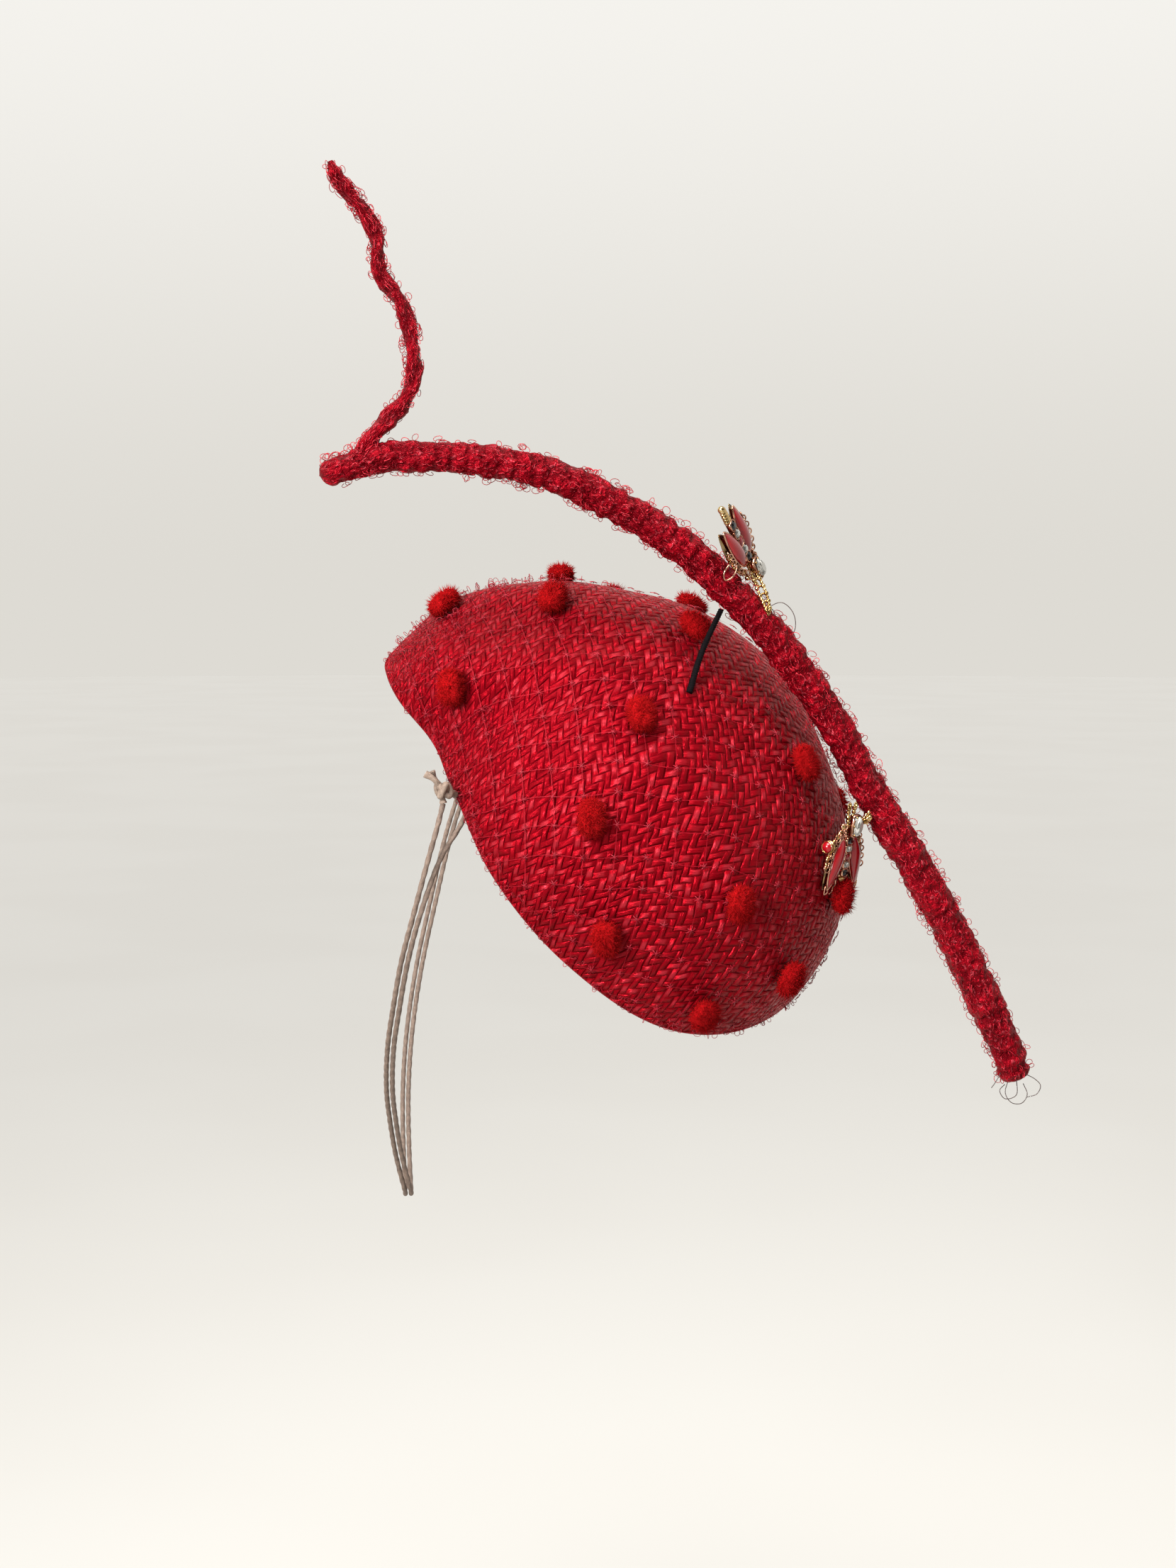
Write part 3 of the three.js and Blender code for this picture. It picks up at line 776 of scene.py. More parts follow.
@dataclass(frozen=True)
class CrinFinish(Finish):
    """Puckered crin: shiny flat filaments with painted soft glints, and painted shade in the folds and between the
    flats.
    """

    light: Colour = linear(134, 6, 21)
    deep: Colour = linear(98, 3, 13)
    glint: Colour = linear(204, 84, 96)
    gleam: Colour = linear(255, 110, 122)
    tube_mm: float = 6.0
    relief: float = 0.0011
    metallic: float = 0.3
    shine: float = 0.22

    def surface(self, g: Graph) -> Value:
        """The tube's fold depth darkens it as painted shade, and so do the gaps between the flats; crumpled flat
        filaments tilt the surface, and a painted glint colour lies on their high spots.

        Args:
            g: the material's graph.

        Returns:
            The shader; its noises lie on the tube at (run, radius·cos turn, radius·sin turn).
        """
        run, turn, _ = g.parts(g.lay())

        def place(run_mm: float, round_mm: float) -> Value:
            """A place on the tube counted in cells of these sizes."""
            cells = self.tube_mm / round_mm
            return g.vector(run / run_mm, turn.cos() * cells, turn.sin() * cells)

        fold = g.value("ShaderNodeAttribute", out="Fac", attribute_name="fold")
        crumple = g.noise(place(1.9, 1.5), 1.5, Distortion=1.2)
        flats = g.value("ShaderNodeTexVoronoi", {"Vector": place(2.6, 1.9), "Scale": 1.0}, out="Distance", feature="F1")
        # painted shade: darker where the tube's fold attribute is low, deep in the folds
        tone = g.mix(g.spread(fold, -0.55, 0.55), self.deep, self.light)
        # painted shade: darker toward the edges of each flat, in the gaps between them
        shade = g.mix(g.spread(flats, 0.45, 0.75) * 0.75, tone, self.deep)
        return g.principled({
            # painted highlight: a pink glint colour on the crumple's high spots
            "Base Color": g.mix(g.spread(crumple, 0.58, 0.68, 0, 0.3), shade, self.glint),
            "Roughness": g.spread(crumple, 0.35, 0.7, 0.45, 0.26),
            "Normal": g.bump(crumple * 1.5 + flats * -0.8, self.relief, 1.0),
            "Metallic": self.metallic, "Specular IOR Level": self.shine, "Specular Tint": self.gleam})


@dataclass(frozen=True)
class MetalFinish(Finish):
    """Plated metal, its colour drifting between two tones and dulled a little in spots."""

    light: Colour
    deep: Colour
    roughness: float = 0.16
    grain_m: float = 0.003
    relief: float = 0.0001

    def surface(self, g: Graph) -> Value:
        """Metal with a hammered wave, its dusty spots rougher.

        Args:
            g: the material's graph.

        Returns:
            The shader.
        """
        broad, _, dust = self.unevenness(g, self.grain_m)
        return g.principled({
            "Base Color": g.mix(broad, self.deep, self.light), "Metallic": 1.0,
            "Roughness": dust * 0.3 + self.roughness, "Normal": g.bump(broad, self.relief, 0.5)})


@dataclass(frozen=True)
class EnamelFinish(Finish):
    """Glossy enamel, paler toward one end of the piece's own map as a painted highlight."""

    body: Colour
    # painted highlight: the pale colour of the low end of u
    pale: Colour
    highlight_from: float
    pale_to: float
    drift: Colour = linear(120, 12, 22)
    grain_m: float = 0.006
    coat: float = 0.5
    shine: float = 0.3

    def surface(self, g: Graph) -> Value:
        """Clear-coated colour with the pale end, a painted highlight, mixed in along u.

        Args:
            g: the material's graph.

        Returns:
            The shader.
        """
        broad, _, dust = self.unevenness(g, self.grain_m)
        # painted highlight: the pale colour mixed in toward the low end of u, the wing's root
        share = g.spread(g.parts(g.lay())[0], self.pale_to, self.highlight_from, 0.75, 0)
        return g.principled({
            "Base Color": g.mix(share, g.mix(broad * 0.3, self.body, self.drift), self.pale),
            "Roughness": dust * 0.25 + 0.2, "Specular IOR Level": self.shine,
            "Coat Weight": self.coat, "Coat Roughness": 0.05})


@dataclass(frozen=True)
class StoneFinish(Finish):
    """Cut glass with a foiled back: a dark or clear body and bright facets, their brightness a painted reflection."""

    body: Colour
    # painted reflection: the bright colour of the facets
    flash: Colour
    flash_share: float = 0.5
    transmission: float = 0.0
    ior: float = 1.55
    grain_m: float = 0.0022

    def surface(self, g: Graph) -> Value:
        """Each facet has a fixed tone of its own, a painted reflection.

        Args:
            g: the material's graph.

        Returns:
            The shader; a facet's tone is a random number of its normal, taken in sevenths.
        """
        _, fine, dust = self.unevenness(g, self.grain_m)
        lie = g.value("ShaderNodeNewGeometry", out="True Normal")
        sevenths = g.value("ShaderNodeVectorMath", {0: lie, 1: (7, 7, 7)}, operation="MULTIPLY")
        tone = g.white(g.value("ShaderNodeVectorMath", {0: sevenths}, operation="FLOOR"))
        # painted reflection: each facet mixes in the flash colour by its random tone
        share = (fine * 0.25 + tone * 0.8) * self.flash_share
        return g.principled({
            "Base Color": g.mix(share, self.body, self.flash), "Roughness": dust * 0.2 + 0.03, "IOR": self.ior,
            "Transmission Weight": self.transmission, "Coat Weight": self.flash_share * 0.5, "Coat Roughness": 0.02})


@dataclass(frozen=True)
class PaleFinish(Finish):
    """The studio floor: pale by its own light, so that lamps hardly show on it."""

    tone: Colour = linear(192, 190, 185)
    drift: Colour = linear(184, 181, 175)
    dark: Colour = linear(60, 58, 55)
    grain_m: float = 0.4
    glow: float = 0.98

    def surface(self, g: Graph) -> Value:
        """Matt pale paint with the faintest drift.

        Args:
            g: the material's graph.

        Returns:
            The shader.
        """
        colour = g.mix(self.unevenness(g, self.grain_m)[0] * 0.2, self.tone, self.drift)
        return g.principled({
            "Base Color": g.mix(0.6, colour, self.dark), "Roughness": 0.8,
            "Emission Color": colour, "Emission Strength": self.glow})


STRAW = StrawFinish("shiny red straw")
STRAW_INSIDE = StrawFinish("straw inside", light=linear(142, 10, 28), deep=linear(108, 5, 19),
                           crest_glint_share=0.08, roughness=0.5, relief=0.0004)
NET = NetFinish("red net")
NET_THREAD = FibreFinish("net thread", linear(158, 18, 38), linear(108, 8, 24), 0.45, sheen=0.1, shine=0.3)
CHENILLE = PileFinish("chenille")
CRIN = CrinFinish("red crin")
FILAMENT = FibreFinish("crin filament", linear(184, 26, 44), linear(120, 8, 22), 0.35, sheen=0.0, shine=0.25)
DARK_FILAMENT = FibreFinish("bare filament", linear(96, 84, 80), linear(60, 48, 48), 0.25, sheen=0.0)
BLACK_WIRE = FibreFinish("black wrapped wire", linear(12, 8, 10), linear(4, 2, 4), 0.6, 0.0012, sheen=0.0, shine=0.06)
GILT = MetalFinish("gilt", linear(226, 196, 138), linear(142, 104, 58), 0.12)
ROSE_GILT = MetalFinish("rosy gilt", linear(222, 172, 146), linear(140, 92, 72), 0.16)
TRAY_GILT = MetalFinish("tray gilt", linear(166, 142, 102), linear(84, 68, 46), 0.06)
WING_ENAMEL = EnamelFinish("dark red enamel", linear(138, 6, 16), linear(164, 48, 58), 4.0, -3.0)
CELL_ENAMEL = EnamelFinish("red enamel cell", linear(136, 8, 18), linear(150, 30, 36), 0.5, 0.0)
JET = StoneFinish("jet", linear(3, 3, 4), linear(30, 28, 30))
CRYSTAL = StoneFinish("clear stone", linear(44, 42, 37), linear(206, 204, 196), 1.0, 0.15)
ELASTIC = FibreFinish("taupe elastic", linear(126, 107, 94), linear(80, 66, 57), 0.7, 0.0015, sheen=0.2)
# the knot is the same elastic as the strands, drawn in lighter tones
ELASTIC_KNOT = FibreFinish("lighter elastic knot", linear(146, 127, 112), linear(98, 82, 71), 0.7, 0.0015, sheen=0.2)
FLOOR = PaleFinish("studio floor")


# ---- the crown ----


@dataclass(frozen=True)
class CrownForm:
    """The crown's surface, by the way round and the share of the way from the apex to the rim, in mm and degrees."""

    height: float = 61
    wall: float = 2.0
    side_deg: float = 86
    beak_deg: float = 67
    beak_spread_deg: float = 23
    beak_fuller: float = 2.4
    beak_fuller_deg: float = 16
    rim_deg: tuple = (0, 5, 10, 16, 24, 40, 70, 100, 130, 160, 190, 220, 250, 280, 310, 332, 344, 353)
    reach: tuple = (93, 94, 92, 87, 76, 70, 73, 78, 89, 94, 94, 86, 83, 78, 77, 86, 92, 92)
    rise: tuple = (-5, -6, -3, 0, 2, 4, 5, 0, -5, -8, -9, -4, 3, 7, 6, 3, 0, -4)
    up: tuple = (0.479146, -0.671738, 0.564967)
    beak: tuple = (-0.804764, -0.079257, 0.58828)

    def round_the_rim(self, rows: tuple, deg: Array) -> Array:
        """A rim measure between its stations.

        Args:
            rows: its value at each station.
            deg: the way round.

        Returns:
            The cubic through both stations, slope = (rising·before + coming·after) / (before + after) at each.
        """
        at, value = np.array(self.rim_deg, float), np.array(rows, float)
        gap = np.diff(np.append(at, at[0] + 360))
        rate = np.diff(np.append(value, value[0])) / gap
        before = np.roll(gap, 1)
        slope = (np.roll(rate, 1) * gap + rate * before) / (before + gap)
        d = np.mod(deg, 360)
        k = np.searchsorted(at, d, side="right") - 1
        n = (k + 1) % len(at)
        t, w = (d - at[k]) / gap[k], gap[k]
        return ((2 * t**3 - 3 * t**2 + 1) * value[k] + (t**3 - 2 * t**2 + t) * w * slope[k]
                + (3 * t**2 - 2 * t**3) * value[n] + (t**3 - t**2) * w * slope[n])

    def local(self, deg: Array, share: Array, grow: Array | float) -> Array:
        """Points in the crown's own frame.

        Args:
            deg: the way round from the beak.
            share: 0 at the apex, 1 at the rim.
            grow: how far outside the surface.

        Returns:
            (outward·(reach + grow)·cos, outward·(reach + grow)·sin, upward·(height + grow) + (1 − upward)·rise).
            At the beak, where the straw swells above the rim, up by beak_fuller and out by half of it.
        """
        off = np.mod(deg + 180, 360) - 180
        near = np.exp(-(off / self.beak_fuller_deg) ** 2)
        swell = self.beak_fuller * near * smoothstep(share, 0.55, 0.85) * (1 - smoothstep(share, 0.93, 1.06))
        steeper = np.exp(-(off / self.beak_spread_deg) ** 2)
        turn = np.radians(self.side_deg + (self.beak_deg - self.side_deg) * steeper)
        outward = np.sin(share * turn) / np.sin(turn)
        upward = (np.cos(share * turn) - np.cos(turn)) / (1 - np.cos(turn))
        reach = (self.round_the_rim(self.reach, deg) + grow) * outward
        way = np.radians(deg)
        z = upward * (self.height + grow) + (1 - upward) * self.round_the_rim(self.rise, deg)
        return np.stack([reach * np.cos(way) + 0.5 * swell, reach * np.sin(way), z + swell], -1)

    def shared(self, local: Array) -> Array:
        """Local vectors in the shared frame."""
        return local @ np.stack([self.beak, np.cross(self.up, self.beak), self.up])

    def points(self, deg: Array, share: Array, grow: Array | float = 0.0) -> Array:
        """The surface's points in the shared frame."""
        return self.shared(self.local(deg, share, grow))

    def normals(self, deg: Array, share: Array) -> Array:
        """Outward unit directions in the shared frame.

        Args:
            deg: the way round.
            share: 0 at the apex, 1 at the rim.

        Returns:
            The cross product of a small step down and a small step round.
        """
        step = 0.02
        low = np.clip(share, step, None)
        a = self.local(deg + 0.5, low, 0.0) - self.local(deg - 0.5, low, 0.0)
        b = self.local(deg, low + step / 2, 0.0) - self.local(deg, low - step / 2, 0.0)
        return self.shared(unit(np.cross(b, a)))

    def spot(self, deg: float, share: float, grow: float = 0.0) -> tuple[Array, Array]:
        """One place on the surface and its outward direction."""
        place = np.array([float(deg)]), np.array([float(share)])
        return self.points(*place, grow)[0], self.normals(*place)[0]

    def cloth_map(self, deg: Array, share: Array) -> Array:
        """Places on the flat cloth.

        Args:
            deg: the way round.
            share: 0 at the apex, 1 at the rim.

        Returns:
            (run·cos deg, run·sin deg): run is the arc length from the apex, read from a table of ways and rows.
        """
        ways, rows = 120, 40
        grid = self.local(np.linspace(0, 360, ways + 1)[:, None] + np.zeros(rows + 1),
                          np.zeros((ways + 1, 1)) + np.linspace(0, 1, rows + 1), 0.0)
        steps = np.linalg.norm(np.diff(grid, axis=1), axis=2)
        arc = np.concatenate([np.zeros((ways + 1, 1)), np.cumsum(steps, axis=1)], 1)
        x, y = np.mod(deg, 360) * ways / 360, share * rows
        i, j = np.minimum(x.astype(int), ways - 1), np.minimum(y.astype(int), rows - 1)
        s, t = x - i, y - j
        low, high = (arc[i, k] * (1 - s) + arc[i + 1, k] * s for k in (j, j + 1))
        run, way = low * (1 - t) + high * t, np.radians(deg)
        return np.stack([run * np.cos(way), run * np.sin(way)], -1)

    @staticmethod
    def disc_grid(cells: int) -> tuple[Array, Array, Array]:
        """A square grid drawn into the disc of ways and shares, equal areas for equal cells.

        Args:
            cells: cells along each side.

        Returns:
            (deg, share) of (cells + 1)² points, share = the larger of |x|, |y|, deg = 45°·(smaller / larger),
            and the quads between them, facing outward.
        """
        x, y = np.meshgrid(np.linspace(-1, 1, cells + 1), np.linspace(-1, 1, cells + 1), indexing="ij")
        wide = np.abs(x) >= np.abs(y)
        share = np.where(wide, np.abs(x), np.abs(y))
        safe = np.maximum(share, 1e-9)
        along_x = np.where(x >= 0, 0.0, 180.0) + 45 * y / np.where(x >= 0, safe, -safe)
        along_y = np.where(y >= 0, 90.0, 270.0) - 45 * x / np.where(y >= 0, safe, -safe)
        deg = np.mod(np.where(wide, along_x, along_y), 360)
        return deg.reshape(-1), share.reshape(-1), grid_faces(cells + 1, cells + 1, False)[:, ::-1]


@dataclass(frozen=True)
class StrawLay:
    """How the straw's own map drifts from the cloth's, in millimetres."""

    finer: float = 0.0024
    drifts: tuple = ((2.2, 26.0), (0.6, 6.5))
    seeds: tuple = (61, 63)

    def places(self, cloth: Array) -> Array:
        """The straw's own map.

        Args:
            cloth: (n, 2) places on the cloth's map, beak along +u.

        Returns:
            The place moved by broad and small smooth noise, then u + finer·max(u, 0)²: the weave closes up
            toward the beak.
        """
        u, v = cloth[:, 0], cloth[:, 1]
        drift = [sum(far * noise_field(u / run, v / run, 101, seed + k) for k, (far, run) in enumerate(self.drifts))
                 for seed in self.seeds]
        return np.stack([u + drift[0] + self.finer * np.maximum(u, 0) ** 2, v + drift[1]], -1)


@dataclass(frozen=True)
class Crown:
    """The woven shell with its turned rim, and its inside."""

    form: CrownForm
    lay: StrawLay = StrawLay()
    cells: int = 280
    inside_cells: int = 120
    relief: float = 0.34
    near_rim: float = 0.97
    lip: tuple = ((0.35, 0.75), (0.2, 1.25), (-0.5, 1.6), (-1.3, 1.45), (-1.9, 0.9), (-2.2, 0.1), (-2.3, -1.2))
    lip_lay: float = 0.011

    def outside(self) -> Piece:
        """The woven face, raised by the weave, with a rim that rolls under.

        Returns:
            The piece. A lip row (out, down) lies at rim + outward·out + downward·down.
        """
        form = self.form
        deg, share, quads = form.disc_grid(self.cells)
        uv = self.lay.places(form.cloth_map(deg, share))
        raised = (WEAVE.relief(uv) - 0.5) * self.relief
        points = form.points(deg, share) + form.normals(deg, share) * raised[:, None]
        n, side = self.cells + 1, np.arange(self.cells)
        edge = np.concatenate([side * n, self.cells * n + side, (n - 1 - side) * n + self.cells, self.cells - side])
        rim_deg, above = deg[edge], np.full(len(edge), self.near_rim)
        rim, out = form.points(rim_deg, np.ones(len(edge))), form.normals(rim_deg, above)
        down = unit(rim - form.points(rim_deg, above))
        rows = [rim + out * o + down * d for o, d in self.lip]
        maps = [uv[edge] * (1 + (k + 1) * self.lip_lay) for k in range(len(rows))]
        ring = np.vstack([edge, len(points) + np.arange(len(rows) * len(edge)).reshape(len(rows), -1)])
        nxt = np.roll(ring, -1, axis=1)
        lip = np.stack([ring[:-1], ring[1:], nxt[1:], nxt[:-1]], -1).reshape(-1, 4)
        shape = Shape(np.vstack([points] + rows), [quads, lip], np.vstack([uv] + maps))
        return put("straw crown", shape, STRAW, "straw", "crown")

    def inside(self) -> Piece:
        """The shell's inner face, up to the turned rim.

        Returns:
            The piece, the wall's thickness inside the surface.
        """
        deg, share, quads = self.form.disc_grid(self.inside_cells)
        uv = self.lay.places(self.form.cloth_map(deg, share))
        shape = Shape(self.form.points(deg, share, -self.form.wall), [quads[:, ::-1]], uv)
        return put("crown inside", shape, STRAW_INSIDE, "straw", "crown")


@dataclass(frozen=True)
class Veil:
    """The net stretched over the crown, its knots and the loops of its edge."""

    form: CrownForm
    cells: int = 110
    grow: float = 1.05
    rim_share: float = 0.985
    star_arm: tuple = (1.1, 1.9)
    star_thick: float = 0.15
    loops: int = 640
    loops_near_beak: float = 0.36
    beak_spread_deg: float = 22
    loop_thick: float = 0.11

    def net(self, knots: list[Piece]) -> Piece:
        """The net itself, a sheet stretched over the crown.

        Args:
            knots: not used.

        Returns:
            The piece.
        """
        deg, share, quads = self.form.disc_grid(self.cells)
        share = share * self.rim_share
        points = self.form.points(deg, share) + self.form.normals(deg, share) * self.grow
        veil = put("net veil", Shape(points, [quads], self.form.cloth_map(deg, share)), NET, "net", "veil")
        return veil

    def crossings(self) -> list[tuple[float, float]]:
        """Places where two threads cross.

        Returns:
            (deg, share) of each: the meeting of lines m and n on the cloth's map, their wave found in six rounds,
            then taken from arc length to share along its way.
        """
        lines = np.arange(-14, 15) + 0.5
        m, n = (axis.reshape(-1) for axis in np.meshgrid(lines, lines))
        (a, b), (c, d) = (np.array(row) / NET.cell_mm for row in NET.runs)
        det = a * d - b * c
        u, flat = (m * d - n * b) / det, (n * a - m * c) / det
        v = flat
        for _ in range(6):
            v = flat - NET.wave_mm * np.sin((u + v) / NET.wave_run_mm)
        rows = np.linspace(0, 1, 41)
        places = []
        for way, out in zip(np.degrees(np.arctan2(v, u)), np.hypot(u, v)):
            arc = np.linalg.norm(self.form.cloth_map(np.full(41, way), rows), axis=1)
            share = float(np.interp(out, arc, rows, right=2.0))
            if share < 0.975:
                places.append((float(way), share))
        return places

    def knots(self) -> Piece:
        """Star knots where threads cross.

        Returns:
            One piece, three short threads laid over one another at each crossing.
        """
        rng = np.random.default_rng(5)
        stars = []
        for deg, share in self.crossings():
            centre, out = self.form.spot(deg, share)
            side = unit(np.cross(out, [0.3, 0.5, 0.8]))
            fwd = np.cross(out, side)
            start = rng.uniform(0, 60)
            for spoke in range(3):
                way = math.radians(start + 60 * spoke + rng.uniform(-12, 12))
                arm = (side * math.cos(way) + fwd * math.sin(way)) * rng.uniform(*self.star_arm)
                low, high = centre + out * (self.grow + 0.05), centre + out * (self.grow + 0.35)
                stars.append(tube([low - arm, high, low + arm], self.star_thick, 3))
        return put("net knots", joined(stars), NET_THREAD, "net")

    def edge_loops(self) -> Piece:
        """Cut threads that stand off the edge.

        Returns:
            One piece, the loops longest along the beak.
        """
        rng = np.random.default_rng(8)
        made = []
        for _ in range(self.loops):
            near_beak = rng.uniform() < self.loops_near_beak
            deg = (rng.normal(0, self.beak_spread_deg) if near_beak else rng.uniform(0, 360)) % 360
            share = rng.uniform(0.72, 0.995) if near_beak else 1 - 0.06 * rng.uniform() ** 2
            foot, out = self.form.spot(deg, share, 0.6)
            off_edge = unit(self.form.spot(deg, 1.0)[0] - self.form.spot(deg, 0.96)[0])
            out = unit(out + off_edge * (0.0 if near_beak else rng.uniform(0, 1.2)))
            side = unit(np.cross(out, rng.normal(size=3)))
            high = rng.uniform(1.0, 3.6) if near_beak else rng.uniform(0.7, 2.2)
            made.append(tube(thread_loop(foot, out, side, high, rng.uniform(0.7, 1.3)), self.loop_thick, 3))
        return put("net edge threads", joined(made), NET_THREAD, "net")


@dataclass(frozen=True)
class Dots:
    """Chenille dots, each an oval of dense pile on the net; places are (degrees round, share to the rim)."""

    form: CrownForm
    places: tuple = (
        (351, 0.89), (320, 0.85), (346, 0.54), (281, 0.8), (299, 0.29), (19, 0.8), (51, 0.27), (77, 0.57),
        (191, 0.29), (132, 0.53), (174, 0.63), (101, 0.81), (152, 0.77), (131, 0.88), (215, 0.86), (238, 0.76),
        (258, 0.92), (300, 0.96))
    size: tuple = (9.0, 12.8, 6.4)
    lift: float = 4.0
    pile: int = 1500
    thick: float = 0.16
    shortest: float = 0.8
    longer: float = 2.3

    @staticmethod
    def squared(way: Array) -> Array:
        """Directions carried halfway from a ball to a rounded box, by their fourth-power length."""
        return way / np.maximum(np.linalg.norm(way, ord=4, axis=1, keepdims=True), 1e-9) * 0.5 + way * 0.5

    def dot(self, number: int, deg: float, share: float) -> Piece:
        """One dot: a lumpy oval with short fibres standing all over it.

        Args:
            number: its place in the row, which also seeds it.
            deg: the way round the crown.
            share: the share of the way to the rim.

        Returns:
            The piece. Each fibre is a spike of three sides, shortest + longer·r² long for a random r.
        """
        rng = np.random.default_rng(100 + number)
        foot, out = self.form.spot(deg, share)
        tall = unit(np.array([0, 0, 1.0]) - out * out[2])
        half = np.array(self.size) / 2
        body, lat, lon = ball(17, 28)
        bulge = 0.86 + 0.06 * noise_field(lat * 3, lon / TURN * 7, 7, number)
        body.points = self.squared(body.points) * half * bulge[:, None]
        rooted = self.squared(unit(rng.normal(size=(self.pile, 3)))) * half * 0.84
        grow = unit(unit(rooted / half**2) + rng.normal(scale=0.3, size=(self.pile, 3)))
        side = unit(np.cross(grow, rng.normal(size=(self.pile, 3))))
        other = np.cross(grow, side) * 0.87
        long = self.shortest + self.longer * rng.uniform(0, 1, (self.pile, 1)) ** 2
        spikes = np.stack([rooted + side * self.thick, rooted + (other - side * 0.5) * self.thick,
                           rooted - (other + side * 0.5) * self.thick, rooted + grow * long], 1)
        first = np.arange(self.pile)[:, None] * 4
        faces = np.vstack([first + [0, 1, 3], first + [1, 2, 3], first + [2, 0, 3]])
        shape = joined([body, Shape(spikes.reshape(-1, 3), [faces])])
        shape = shape.moved(np.stack([np.cross(tall, out), tall, out]), foot + out * self.lift)
        # fold here is painted shade: 0 at the fibre roots, 1 at the tips, 0.3 on the body under the pile
        shape.fold = np.concatenate([np.full(len(lat), 0.3), np.tile([0.0, 0, 0, 1], self.pile)])
        return put(f"chenille dot {number:02d}", shape, CHENILLE, "chenille", f"dot_{number:02d}")

    def build(self) -> list[Piece]:
        """All the dots."""
        return [self.dot(k + 1, deg, share) for k, (deg, share) in enumerate(self.places)]


# ---- the quill ----


@dataclass(frozen=True)
class QuillPlane:
    """The upright plane that the quill bends in."""

    turn_deg: float = 12
    aside: float = -34.2

    def points(self, rows: tuple) -> Array:
        """Points in the shared frame.

        Args:
            rows: each starts with (along, up).

        Returns:
            (along·cos − aside·sin, along·sin + aside·cos, up) of each.
        """
        along, up = np.array(rows, float).T[:2]
        c, s = math.cos(math.radians(self.turn_deg)), math.sin(math.radians(self.turn_deg))
        return np.stack([along * c - self.aside * s, along * s + self.aside * c, up], -1)


